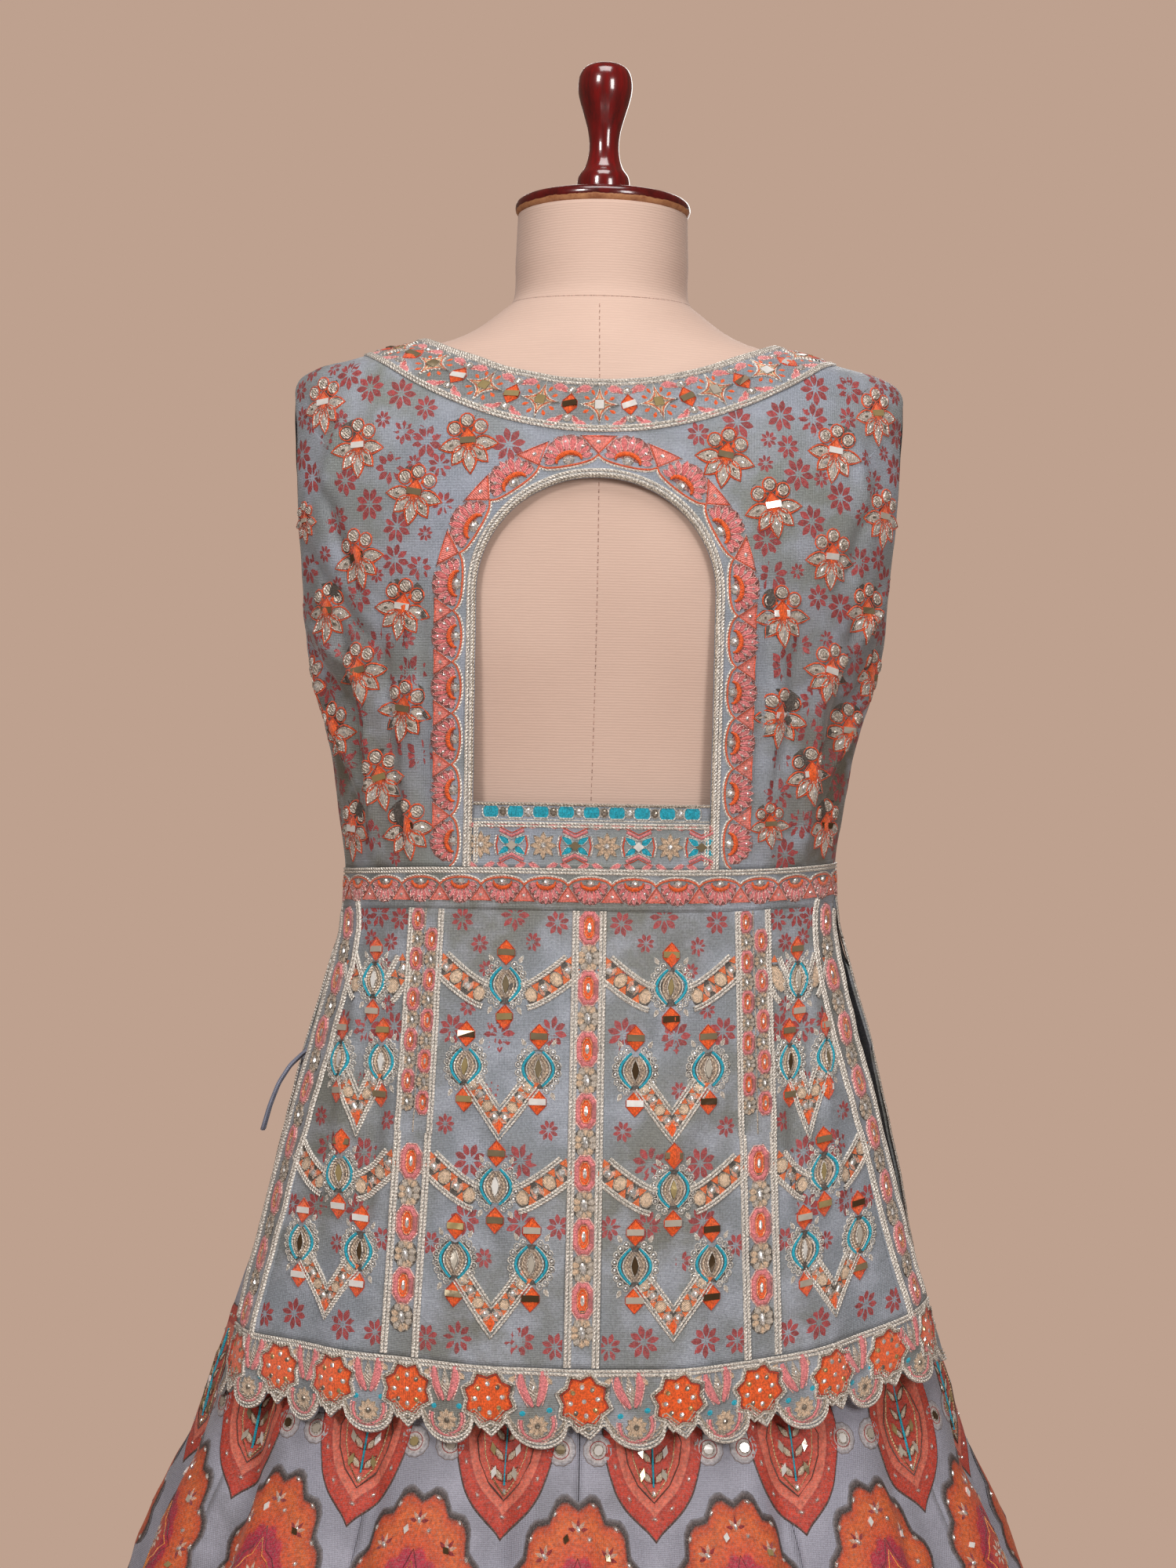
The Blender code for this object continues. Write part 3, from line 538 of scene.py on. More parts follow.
def bust(turn, z):
    around = sum(hump(turn_away(turn, side * BUST_TURN), BUST_WIDE) for side in (-1, 1))
    return BUST_PROUD * around * hump(z - BUST_HEIGHT, BUST_TALL)


def peplum_fall(z):
    return np.maximum(0.0, (WAIST_SEAM - z) / (WAIST_SEAM - BORDER_LINE))


def peplum_fold(turn, z):
    folds = sum(
        f.proud * hump(turn_away(turn, math.radians(f.turn)), math.radians(f.width))
        for f in PEPLUM_FOLDS
    )
    return peplum_fall(z) ** 1.5 * folds


def skirt_fold(turn, z):
    lean = FOLD_LEAN * np.sin(2 * turn + 0.6)
    wave = np.cos(SKIRT_FOLDS * turn + lean + 0.5 * np.sin(3 * turn))
    uneven = 0.8 + 0.2 * np.sin(5 * turn + 1.0)
    return row_at(SKIRT, z)["fold"] * (wave + 0.25 * (1 - wave * wave)) * uneven


def pushed_out(p, proud):
    level = p * (1, 1, 0)
    return p + level / np.linalg.norm(level, axis=-1, keepdims=True) * np.asarray(proud)[..., None]


def form_skin(turn, z):
    return pushed_out(section_point(FORM, turn, z), bust(turn, z))


def top_skin(turn, z):
    p = pushed_out(section_point(TOP, turn, z), bust(turn, z) + peplum_fold(turn, z))
    ramp = np.clip((HITCH_FROM - z) / (HITCH_FROM - HITCH_FULL), 0, 1)
    aside = p[..., 0] / SIDE_AT
    p[..., 2] += HITCH * ramp * ramp * (3 - 2 * ramp) * aside**3
    p[..., 2] += SIDE_RISE * peplum_fall(z) * aside**2
    return p


def skirt_skin(turn, z):
    return pushed_out(section_point(SKIRT, turn, z), skirt_fold(turn, z))


def turn_at_x(x, z):
    row = row_at(TOP, z)
    share = np.minimum(1.0, np.abs(x) / row["half_width"])
    return np.sign(x) * np.arcsin(share ** (row["squareness"] / 2))


def side_turn(z):
    row = row_at(TOP, z)
    return np.arccos((HALF_SEAM / row["back"]) ** (row["squareness"] / 2))


# Creases: soft troughs, and ridges where the depth is above 0, in the flat cloth's own sizes

BACK_CREASES = [Crease(*row) for row in (
    (-0.135, 1.205, -0.118, 1.075, 0.0042, -0.0038), (-0.150, 1.185, -0.142, 1.070, 0.0052, 0.0035),
    (-0.168, 1.220, -0.150, 1.100, 0.0046, -0.0041), (-0.206, 1.215, -0.146, 1.172, 0.0044, 0.0035),
    (-0.208, 1.200, -0.150, 1.150, 0.0036, -0.0035), (-0.200, 1.180, -0.160, 1.120, 0.0044, 0.0032),
    (-0.190, 1.150, -0.150, 1.085, 0.0040, -0.0032),
    (-0.196, 1.255, -0.140, 1.195, 0.0042, -0.0029),
    (-0.185, 1.300, -0.148, 1.225, 0.0052, -0.0028), (-0.160, 1.350, -0.185, 1.275, 0.0060, 0.0025),
    (-0.108, 1.235, -0.104, 1.085, 0.0036, -0.0030), (-0.116, 1.225, -0.112, 1.120, 0.0036, 0.0020),
    (-0.125, 1.150, -0.112, 1.068, 0.0036, 0.0028), (-0.100, 1.330, -0.142, 1.306, 0.0060, 0.0014),
    (0.130, 1.220, 0.114, 1.080, 0.0042, -0.0035), (0.148, 1.200, 0.138, 1.066, 0.0052, 0.0038),
    (0.172, 1.225, 0.150, 1.110, 0.0046, -0.0041), (0.205, 1.240, 0.150, 1.178, 0.0044, 0.0035),
    (0.204, 1.205, 0.156, 1.150, 0.0038, -0.0035), (0.196, 1.180, 0.158, 1.120, 0.0040, 0.0032),
    (0.188, 1.150, 0.150, 1.085, 0.0042, -0.0032), (0.186, 1.305, 0.156, 1.235, 0.0052, -0.0026),
    (0.158, 1.345, 0.180, 1.275, 0.0060, 0.0026), (0.107, 1.245, 0.103, 1.095, 0.0036, -0.0029),
    (0.114, 1.215, 0.110, 1.110, 0.0034, 0.0019), (0.122, 1.130, 0.110, 1.066, 0.0036, 0.0029),
    (-0.085, 0.960, 0.085, 0.955, 0.0035, -0.0012), (-0.070, 0.945, -0.030, 0.880, 0.0055, 0.0023),
    (0.075, 0.935, 0.028, 0.860, 0.0055, 0.0023), (-0.034, 1.030, -0.060, 0.950, 0.0050, -0.0019),
    (0.060, 1.030, 0.036, 0.940, 0.0050, -0.0019), (-0.150, 0.990, -0.160, 0.850, 0.0060, 0.0032),
    (0.145, 0.990, 0.165, 0.840, 0.0060, 0.0032), (-0.128, 0.940, -0.138, 0.800, 0.0050, -0.0026),
    (0.126, 0.930, 0.140, 0.800, 0.0050, -0.0026), (-0.055, 0.860, -0.040, 0.790, 0.0060, -0.0025),
    (0.050, 0.860, 0.060, 0.790, 0.0060, -0.0025),
)]
FRONT_CREASES = [Crease(*row) for row in (
    (-0.205, 1.230, -0.130, 1.185, 0.0052, 0.0033), (0.205, 1.226, 0.128, 1.188, 0.0052, 0.0032),
    (-0.204, 1.205, -0.150, 1.160, 0.0040, -0.0032), (0.204, 1.200, 0.152, 1.158, 0.0040, -0.0032),
    (-0.150, 1.170, -0.120, 1.070, 0.0050, -0.0035), (0.148, 1.165, 0.124, 1.072, 0.0050, -0.0035),
    (-0.176, 1.160, -0.152, 1.080, 0.0044, 0.0032), (0.178, 1.158, 0.150, 1.082, 0.0044, 0.0032),
    (-0.060, 1.150, -0.050, 1.070, 0.0060, 0.0026), (0.064, 1.155, 0.048, 1.068, 0.0060, 0.0026),
    (-0.030, 1.200, 0.030, 1.196, 0.0080, -0.0020), (-0.150, 0.985, -0.165, 0.840, 0.0060, 0.0029),
    (0.150, 0.990, 0.160, 0.845, 0.0060, 0.0029), (-0.060, 0.930, -0.030, 0.860, 0.0055, 0.0022),
    (0.055, 0.925, 0.034, 0.855, 0.0055, 0.0022),
)]


def smooth_noise(s, z, scale, seed):
    """Gentle unevenness between -1 and 1, in lumps about as wide as scale."""
    rng = np.random.default_rng(seed)
    total = 0
    for _ in range(9):
        heading = rng.uniform(0, math.pi)
        rate = 2 * math.pi / (scale * rng.uniform(0.8, 2.4))
        phase = rng.uniform(0, 2 * math.pi)
        total = total + np.sin(rate * (s * math.cos(heading) + z * math.sin(heading)) + phase)
    return total / 9


def creased(s, z, creases):
    total = np.zeros_like(s)
    for c in creases:
        run = np.array([c.s1 - c.s0, c.z1 - c.z0])
        length = np.linalg.norm(run)
        run = run / length
        along = (s - c.s0) * run[0] + (z - c.z0) * run[1]
        away = -(s - c.s0) * run[1] + (z - c.z0) * run[0]
        away = away + 0.15 * c.width * np.sin(along / c.width)
        ends = np.clip(np.minimum(along, length - along) / (0.3 * length) + 0.5, 0, 1)
        total += c.depth * ends**2 * np.exp(-((away / c.width) ** 2))
    return total


# Grounds: a surface laid flat, so that work is placed on it in millimetres


class Ground:
    """Half of a surface laid flat: s runs round it from its middle line, and z up it."""

    def __init__(self, skin, front, reach, low, high, creases=(), rough=0.0, seed=1):
        self.side = -1.0 if front else 1.0
        self.turns = np.linspace(-reach, reach, 601)
        self.heights = np.arange(low, high + 0.001, 0.002)
        turn, z = np.meshgrid(self.turns, self.heights)
        place = skin(math.pi - turn if front else turn, z)
        steps = np.linalg.norm(np.diff(place, axis=1), axis=2)
        run = np.concatenate([np.zeros((len(z), 1)), np.cumsum(steps, axis=1)], axis=1)
        self.run = run - run[:, 300:301]
        self.reach = self.run.max()
        self.across = np.linspace(-self.reach, self.reach, int(self.reach / 0.0008) + 1)
        spots = np.array([np.interp(self.across, row, self.turns) for row in self.run])
        z = np.repeat(self.heights[:, None], len(self.across), axis=1)
        self.points = skin(math.pi - spots if front else spots, z)
        s = np.repeat(self.across[None], len(self.heights), axis=0)
        lift = creased(s, z, creases) + rough * smooth_noise(s, z, 0.024, seed)
        fade = np.clip((np.abs(self.run[:, -1:]) - np.abs(s)) / 0.02, 0, 1)
        self.normals = self.square_to()
        self.points = self.points + self.normals * (lift * fade)[..., None]
        self.normals = self.square_to()

    def square_to(self):
        across = np.gradient(self.points, axis=1)
        up = np.gradient(self.points, axis=0)
        normal = np.cross(across, up) * self.side
        return normal / np.maximum(np.linalg.norm(normal, axis=2, keepdims=True), 1e-12)

    def look_up(self, grid, columns, column, z):
        i = np.clip((np.asarray(z) - self.heights[0]) / 0.002, 0, len(self.heights) - 1.001)
        step = columns[1] - columns[0]
        j = np.clip((np.asarray(column) - columns[0]) / step, 0, len(columns) - 1.001)
        i0, j0 = i.astype(int), j.astype(int)
        fi, fj = i - i0, j - j0
        if grid.ndim == 3:
            fi, fj = fi[..., None], fj[..., None]
        low = grid[i0, j0] * (1 - fj) + grid[i0, j0 + 1] * fj
        high = grid[i0 + 1, j0] * (1 - fj) + grid[i0 + 1, j0 + 1] * fj
        return low * (1 - fi) + high * fi

    def at(self, s, z, out):
        normal = self.look_up(self.normals, self.across, s, z)
        return self.look_up(self.points, self.across, s, z) + normal * np.asarray(out)[..., None]

    def s_at(self, turn, z):
        """How far round the cloth a turn from the middle line is."""
        return self.look_up(self.run, self.turns, turn, z)

    def s_at_x(self, x, z):
        return self.s_at(turn_at_x(np.asarray(x, float), np.asarray(z, float)), z)


SKIRT_CREASES = [Crease(*row) for row in (
    (-0.120, 0.735, -0.150, 0.560, 0.0090, -0.0040),
    (-0.045, 0.730, -0.052, 0.600, 0.0080, -0.0034), (0.012, 0.730, 0.030, 0.500, 0.0100, -0.0040),
    (0.118, 0.735, 0.160, 0.540, 0.0090, -0.0042), (0.200, 0.730, 0.260, 0.520, 0.0100, -0.0044),
    (-0.210, 0.735, -0.270, 0.530, 0.0100, -0.0042),
    (-0.300, 0.600, -0.360, 0.200, 0.0160, -0.0060),
    (-0.180, 0.520, -0.230, 0.120, 0.0150, -0.0060),
    (-0.060, 0.480, -0.070, 0.090, 0.0150, -0.0055), (0.090, 0.500, 0.120, 0.100, 0.0150, -0.0060),
    (0.240, 0.520, 0.300, 0.110, 0.0150, -0.0060), (0.330, 0.560, 0.420, 0.160, 0.0160, -0.0060),
)]
PAST_SIDE = math.radians(92)
ROUND_SIDE = math.radians(104)
TOP_BACK = Ground(top_skin, False, PAST_SIDE, 0.715, 1.398, BACK_CREASES, 0.0009, 3)
TOP_FRONT = Ground(top_skin, True, PAST_SIDE, 0.715, 1.398, FRONT_CREASES, 0.0009, 5)
SKIRT_BACK = Ground(skirt_skin, False, ROUND_SIDE, 0.010, 0.996, SKIRT_CREASES, 0.0014, 7)
SKIRT_FRONT = Ground(skirt_skin, True, ROUND_SIDE, 0.010, 0.996, SKIRT_CREASES, 0.0014, 7)


# Making meshes


def mesh_object(name, points, quads, triangles, finishes, picks=None, flat=None, tints=None, sharp=()):
    """A mesh from arrays. picks is each face's finish, flat each corner point's place on the cloth."""
    quads = np.asarray(quads, int).reshape(-1, 4)
    triangles = np.asarray(triangles, int).reshape(-1, 3)
    corners = np.concatenate([quads.ravel(), triangles.ravel()])
    counts = np.concatenate([np.full(len(quads), 4), np.full(len(triangles), 3)])
    mesh = bpy.data.meshes.new(name)
    mesh.vertices.add(len(points))
    mesh.vertices.foreach_set("co", np.asarray(points, np.float32).ravel())
    mesh.loops.add(len(corners))
    mesh.loops.foreach_set("vertex_index", corners)
    mesh.polygons.add(len(counts))
    mesh.polygons.foreach_set("loop_start", np.concatenate([[0], np.cumsum(counts)[:-1]]))
    mesh.polygons.foreach_set("use_smooth", np.ones(len(counts), bool))
    for finish in finishes:
        mesh.materials.append(finish)
    if picks is not None:
        mesh.polygons.foreach_set("material_index", np.asarray(picks, np.int32))
        mesh.polygons.foreach_set("use_smooth", ~np.isin(picks, list(sharp)))
    if flat is not None:
        layer = mesh.uv_layers.new(name=FLAT)
        layer.data.foreach_set("uv", np.asarray(flat, np.float32)[corners].ravel())
    if tints is not None:
        layer = mesh.color_attributes.new(TINT, "FLOAT_COLOR", "POINT")
        layer.data.foreach_set("color", np.asarray(tints, np.float32).ravel())
    mesh.update(calc_edges=True)
    mesh.validate()
    return new_object(name, mesh)


def run_along(path):
    """How far along a path each of its points is."""
    return np.concatenate([[0], np.cumsum(np.linalg.norm(np.diff(path, axis=0), axis=1))])


def on_path(spot, run, path):
    """The place at a distance along a path."""
    return [np.interp(spot, run, path[:, k]) for k in (0, 1)]


def round_steps(count):
    """Equal steps once round, as angles."""
    return np.linspace(0, 2 * math.pi, count, endpoint=False)


def grid_faces(rows, columns, start, flip):
    index = start + np.arange(rows * columns).reshape(rows, columns)
    quads = np.stack([index[:-1, :-1], index[:-1, 1:], index[1:, 1:], index[1:, :-1]], -1)
    return quads.reshape(-1, 4)[:, :: -1 if flip else 1]


def eased(values):
    """The values smoothed along their first axis, with both ends kept."""
    made = values.copy()
    made[1:-1] = (values[:-2] + 2 * values[1:-1] + values[2:]) / 4
    return made


def edge_loop(index):
    """The border of a grid of points, once round."""
    return np.concatenate([index[0, :-1], index[:-1, -1], index[-1, :0:-1], index[:0:-1, 0]])


def stacked(rows, sides):
    """The quads between closed rings of points, one ring after another."""
    index = np.arange(rows * sides).reshape(rows, sides)
    following = np.roll(index, -1, axis=1)
    return np.stack([index[:-1], following[:-1], following[1:], index[1:]], -1).reshape(-1, 4)


def closing(first, sides, middle):
    """The triangles from a ring of points, counted from its first, to a middle point."""
    index = first + np.arange(sides)
    return np.column_stack([index, np.roll(index, -1), np.full(sides, middle)])


def capped(rows, sides):
    """The quads and the end triangles of stacked rings, whose two middle points come last."""
    size = rows * sides
    low, top = closing(0, sides, size), closing(size - sides, sides, size + 1)
    return stacked(rows, sides), np.concatenate([low[:, [1, 0, 2]], top])


def thinned(count):
    """Every second place of a row, with the last one kept."""
    return np.unique(np.append(np.arange(0, count, 2), count - 1))


def rim_faces(rows, columns, outer, inner):
    loop = edge_loop(np.arange(rows * columns).reshape(rows, columns))
    after = np.roll(loop, -1)
    return np.stack([outer + after, outer + loop, inner + loop, inner + after], -1)


def cloth(name, ground, patches, low, high, finish):
    """A thin wall of cloth over grids of places (turn from the middle, z), in rows."""
    points, flat, quads, count = [], [], [], 0
    for turn, z in patches:
        rows, columns = turn.shape
        s = ground.s_at(turn, z)
        across, up = s[0, -1] - s[0, 0], (z[-1] - z[0]).mean()
        turned = (across * up < 0) != (ground.side < 0)
        size = rows * columns
        wide, tall = thinned(columns), thinned(rows)
        border = edge_loop(np.arange(size).reshape(rows, columns))
        inside = np.ix_(tall, wide)
        layers = [(s, z, high), (s.ravel()[border], z.ravel()[border], low), (s[inside], z[inside], low)]
        for across_at, up_at, out in layers:
            points.append(ground.at(across_at, up_at, np.full(across_at.shape, out)).reshape(-1, 3))
            flat.append(np.stack([across_at, up_at], -1).reshape(-1, 2))
        loop = np.arange(len(border))
        rim = np.stack([np.roll(border, -1), border, size + loop, size + np.roll(loop, -1)], -1)
        quads.append(grid_faces(rows, columns, count, turned))
        quads.append(rim[:, :: -1 if turned else 1] + count)
        quads.append(grid_faces(len(tall), len(wide), count + size + len(border), not turned))
        count += size + len(border) + len(tall) * len(wide)
    return mesh_object(
        name, np.concatenate(points), np.concatenate(quads), [], [finish], None, np.concatenate(flat)
    )


def dressed(piece, slot, *nodes):
    """The piece rides on the one body and stands for the nodes named; its slot is not used."""
    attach(piece, "root")
    if nodes:
        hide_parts(*nodes)
    return piece


def between(low, high, shares):
    """A grid of places between two rows of places."""
    shares = np.asarray(shares)[:, None]
    return low[0] + (high[0] - low[0]) * shares, low[1] + (high[1] - low[1]) * shares


def joined(*rows):
    """Rows end to end, each after the first without its first place."""
    return tuple(np.concatenate([row[k][n > 0 :] for n, row in enumerate(rows)]) for k in (0, 1))


def mirrored(row):
    return -row[0][::-1], row[1][::-1]


# The dress form


def lathe_object(name, profile, sides, steps, finishes):
    """A turned piece: a smooth curve through its profile, closed at both ends."""
    table = np.array([(p.radius, p.z) for p in profile])
    reach = run_along(table)
    at = np.linspace(0, reach[-1], steps)
    radius, z = np.interp(at, reach, table[:, 0]), np.interp(at, reach, table[:, 1])
    for _ in range(2):
        radius, z = eased(radius), eased(z)
    angle = round_steps(sides)
    circle = np.stack([np.cos(angle), np.sin(angle)], -1)
    points = np.concatenate([np.column_stack([circle * r, np.full(sides, h)]) for r, h in zip(radius, z)])
    ends = np.array([[0, 0, z[0]], [0, 0, z[-1]]])
    return mesh_object(name, np.concatenate([points, ends]), *capped(steps, sides), finishes)


def jersey_finish():
    """Ribbed jersey: fine level ribs with slubs, its colour a little mottled."""
    f = Finish("ribbed_jersey")
    place = f.node("ShaderNodeTexCoord").outputs["Object"]
    level = f.node("ShaderNodeMapping")
    level.inputs["Scale"].default_value = (0.25, 0.25, 1.0)
    f.feed(level, "Vector", place)
    rib = f.node(
        "ShaderNodeTexWave",
        {"wave_type": "BANDS", "bands_direction": "Z"},
        Scale=190.0, Distortion=2.4, Detail=3.0,
    )
    rib.inputs["Detail Scale"].default_value = 1.8
    f.feed(rib, "Vector", level.outputs["Vector"])
    slub = f.noise(level.outputs["Vector"], 420.0, 4.0, 0.7)
    soft = f.ramp(f.noise(place, 7.0, 2.0), 0.0, 1.0, 0.3, 0.7)
    colour = f.mix(soft, linear(201, 173, 158), linear(191, 162, 147))
    line = f.ramp(f.maths("MULTIPLY", rib.outputs["Fac"], slub), 0.955, 1.03, 0.05, 0.6)
    f.set(Base_Color=f.mix(1.0, colour, grey(f, line), "MULTIPLY"), Roughness=0.8)
    f.set(Sheen_Weight=0.15, Sheen_Roughness=0.5)
    f.bump(f.maths("ADD", rib.outputs["Fac"], slub), 0.14, 0.0004)
    return f.material


def wood_finish():
    """Dark varnish over turned wood, with a faint grain under the gloss."""
    f = Finish("dark_varnish")
    place = f.node("ShaderNodeTexCoord").outputs["Object"]
    stretched = f.node("ShaderNodeMapping")
    stretched.inputs["Scale"].default_value = (1.0, 1.0, 0.12)
    f.feed(stretched, "Vector", place)
    grain = f.noise(stretched.outputs["Vector"], 240.0, 5.0, 0.65)
    streak = f.ramp(grain, 0.0, 1.0, 0.35, 0.70)
    f.set(Base_Color=f.mix(streak, linear(113, 10, 12), linear(70, 8, 9)))
    f.set(Roughness=f.ramp(grain, 0.16, 0.24, 0.3, 0.7), Coat_Weight=0.8, Coat_Roughness=0.06)
    f.bump(grain, 0.08, 0.0003)
    return f.material


def worn_wood_finish():
    """The cap's edge: varnish rubbed and chipped to the pale wood towards its foot."""
    f = Finish("chipped_varnish")
    place = f.node("ShaderNodeTexCoord").outputs["Object"]
    height = f.node("ShaderNodeSeparateXYZ")
    f.feed(height, "Vector", place)
    chips = f.noise(place, 120.0, 5.0, 0.7)
    edge = f.maths("ADD", f.ramp(height.outputs["Z"], 1.2, -0.5, 1.4760, 1.4800), f.ramp(chips, -0.8, 0.8))
    worn = f.ramp(edge, 0.0, 1.0, 0.42, 0.58)
    varnish = f.mix(f.ramp(chips, 0.0, 1.0, 0.4, 0.6), linear(88, 14, 14), linear(64, 10, 10))
    pale = f.mix(f.ramp(chips, 0.0, 1.0, 0.35, 0.65), linear(196, 142, 98), linear(150, 92, 58))
    f.set(Base_Color=f.mix(worn, varnish, pale))
    f.set(Roughness=f.ramp(worn, 0.20, 0.55), Coat_Weight=0.35, Coat_Roughness=0.10)
    f.bump(f.maths("MULTIPLY", worn, -1.0), 0.4, 0.0005)
    return f.material


def steel_finish():
    f = Finish("brushed_pole")
    place = f.node("ShaderNodeTexCoord").outputs["Object"]
    grain = f.noise(place, 900.0, 3.0)
    f.set(Base_Color=f.mix(grain, linear(150, 150, 152), linear(190, 190, 192)), Metallic=1.0)
    f.set(Roughness=f.ramp(grain, 0.22, 0.40, 0.3, 0.7))
    return f.material


CAP_PROFILE = [Lathe(*row) for row in (
    (0.0530, 1.4745), (0.0549, 1.4752), (0.0558, 1.4770), (0.0560, 1.4800), (0.0554, 1.4824),
    (0.0540, 1.4836), (0.0420, 1.4851), (0.0170, 1.4860),
)]
FINIAL_PROFILE = [Lathe(*row) for row in (
    (0.0155, 1.4863), (0.0168, 1.4890), (0.0168, 1.4975), (0.0158, 1.5015), (0.0128, 1.5045),
    (0.0106, 1.5100), (0.0095, 1.5165), (0.0094, 1.5225), (0.0104, 1.5300), (0.0128, 1.5385),
    (0.0153, 1.5465), (0.0170, 1.5530), (0.0174, 1.5585), (0.0168, 1.5640), (0.0150, 1.5685),
    (0.0110, 1.5714), (0.0050, 1.5725),
)]


def build_form():
    """The jersey torso, the wooden cap and finial, and finishes for the pole and the base."""
    foot, top, chest = FORM[-1].z, FORM[0].z, 1.30
    turns = round_steps(120)
    heights = np.concatenate([np.arange(foot, chest, 0.015), np.arange(chest, top, 0.004), [top]])
    turn, z = np.meshgrid(turns, heights)
    caps = np.array([[0, 0, heights[0]], [0, 0, heights[-1]]])
    points = np.concatenate([form_skin(turn, z).reshape(-1, 3), caps])
    torso = mesh_object("form_jersey", points, *capped(*turn.shape), [jersey_finish()])
    dressed(torso, "jersey", "form_torso")
    wood, worn = wood_finish(), worn_wood_finish()
    dressed(lathe_object("form_cap", CAP_PROFILE, 96, 26, [worn]), "varnished_wood", "form_neck_cap")
    dressed(lathe_object("form_knob", FINIAL_PROFILE, 48, 60, [wood]), "varnished_wood", "form_finial")
    for node, finish in (("form_base", wood), ("form_pole", steel_finish())):
        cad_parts[node].data.materials.clear()
        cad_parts[node].data.materials.append(finish)


# The bodice's outlines, as rows of places (turn from the middle, z)

FINE = 7
SIDE_COUNT = 4 * FINE
ARMHOLE_COUNT = 8 * FINE
SHOULDER_COUNT = 2 * FINE
NECK_COUNT = 18 * FINE


def dipping_line(point, drop):
    half = row_at(TOP, point)["half_width"]
    angle = np.linspace(math.pi / 2, -math.pi / 2, NECK_COUNT + 1)
    z = point - drop * (1 - np.abs(np.sin(angle)) ** NECK_CURVE)
    most = side_turn(z)
    return np.clip(turn_at_x(half * np.sin(angle), z), -most, most), z


def armhole(reach):
    middle, half = (SHOULDER_TIP + UNDERARM) / 2, (SHOULDER_TIP - UNDERARM) / 2
    angle = np.linspace(0, math.pi, ARMHOLE_COUNT + 1)
    z = middle - half * np.cos(angle)
    return np.minimum(math.pi / 2 - reach * np.sin(angle), side_turn(z)), z


def side_line(low, high, count):
    z = np.linspace(low, high, count + 1)
    return side_turn(z), z


def arch(grow):
    half, rise = ARCH_HALF + grow, ARCH_TOP - ARCH_SPRING + grow
    foot = WAIST_SEAM + HALF_SEAM
    side_count = SIDE_COUNT + ARMHOLE_COUNT // 2
    arc_count = ARMHOLE_COUNT + 2 * SHOULDER_COUNT + NECK_COUNT
    up = np.linspace(foot, ARCH_SPRING, side_count + 1)
    a = np.linspace(0, math.pi, arc_count + 1)
    x = np.concatenate([np.full(side_count, half), half * np.cos(a), np.full(side_count, -half)])
    z = np.concatenate([up[:-1], ARCH_SPRING + rise * np.sin(a), up[::-1][1:]])
    return turn_at_x(x, z), z


def neck_lines(half):
    """The neck band's lower and upper edges."""
    drops = DROPS[half]
    return dipping_line(BAND_POINT, drops.band), dipping_line(NECK_POINT, drops.neck)


def bodice_outline(half):
    right = joined(
        side_line(WAIST_SEAM + HALF_SEAM, UNDERARM, SIDE_COUNT),
        armhole(ARMHOLES[half]),
        side_line(SHOULDER_TIP, BAND_POINT, SHOULDER_COUNT),
    )
    return joined(right, dipping_line(BAND_POINT, DROPS[half].band), mirrored(right))


def build_bodice_cloth():
    """The back, cut open in an arch, the closed front, and the band across the arch's foot."""
    band_shares = np.linspace(0, 1, 9)
    foot = WAIST_SEAM + HALF_SEAM
    body = between(arch(0), bodice_outline("back"), np.linspace(0, 1, 38) ** 0.9)
    patches = [body, between(*neck_lines("back"), band_shares)]
    back = cloth("bodice_back_cloth", TOP_BACK, patches, -CLOTH, 0, BLUE_GREY)
    dressed(back, "printed_silk", "bodice_back")
    right = joined(armhole(ARMHOLES["front"]), side_line(SHOULDER_TIP, BAND_POINT, SHOULDER_COUNT))
    neck = neck_lines("front")
    top_edge = joined(right, neck[0], mirrored(right))
    side = side_turn(np.array(foot))
    waist = np.linspace(side, -side, len(top_edge[0])), np.full(len(top_edge[0]), foot)
    patches = [between(waist, top_edge, np.linspace(0, 1, 48)), between(*neck, band_shares)]
    front = cloth("bodice_front_cloth", TOP_FRONT, patches, -CLOTH, 0, BLUE_GREY)
    dressed(front, "printed_silk", "bodice_front")
    half = ARCH_HALF - 0.0005
    x, z = np.meshgrid(np.linspace(-half, half, 60), np.linspace(foot, ARCH_SILL, 18))
    yoke = cloth("yoke_band_cloth", TOP_BACK, [(turn_at_x(x, z), z)], -CLOTH, 0, BLUE_GREY)
    dressed(yoke, "turquoise_trim", "back_yoke_band")


# The peplum's outlines


def side_edge(z, place):
    most = row_at(TOP, z)["half_width"] - 1e-6
    return np.minimum(row_at(SIDE_EDGES, z)[place], most)


def seam_x(z, place):
    """How far from the middle each line of a half panel lies at height z."""
    fall = peplum_fall(z)
    line = PRINCESS_LINE + PRINCESS_LINE_GAIN * fall
    tuck = np.minimum(1.0, fall / 0.5)
    edge = side_edge(z, place)
    return {
        "centre": CENTRE_STRIP + CENTRE_STRIP_GAIN * fall,
        "princess_in": line - PRINCESS_STRIP,
        "princess": line,
        "princess_out": line + DOUBLED_STRIP + (PRINCESS_STRIP - DOUBLED_STRIP) * tuck,
        "side_in": edge - SIDE_STRIP - SIDE_STRIP_GAIN * fall,
        "edge": edge,
    }


def panel_place(half, side):
    """The column of the side edges that one side of one half follows."""
    return "front" if half == "front" else f"back_{side}"


def top_ground(half):
    return TOP_BACK if half == "back" else TOP_FRONT


def skirt_ground(half):
    return SKIRT_BACK if half == "back" else SKIRT_FRONT


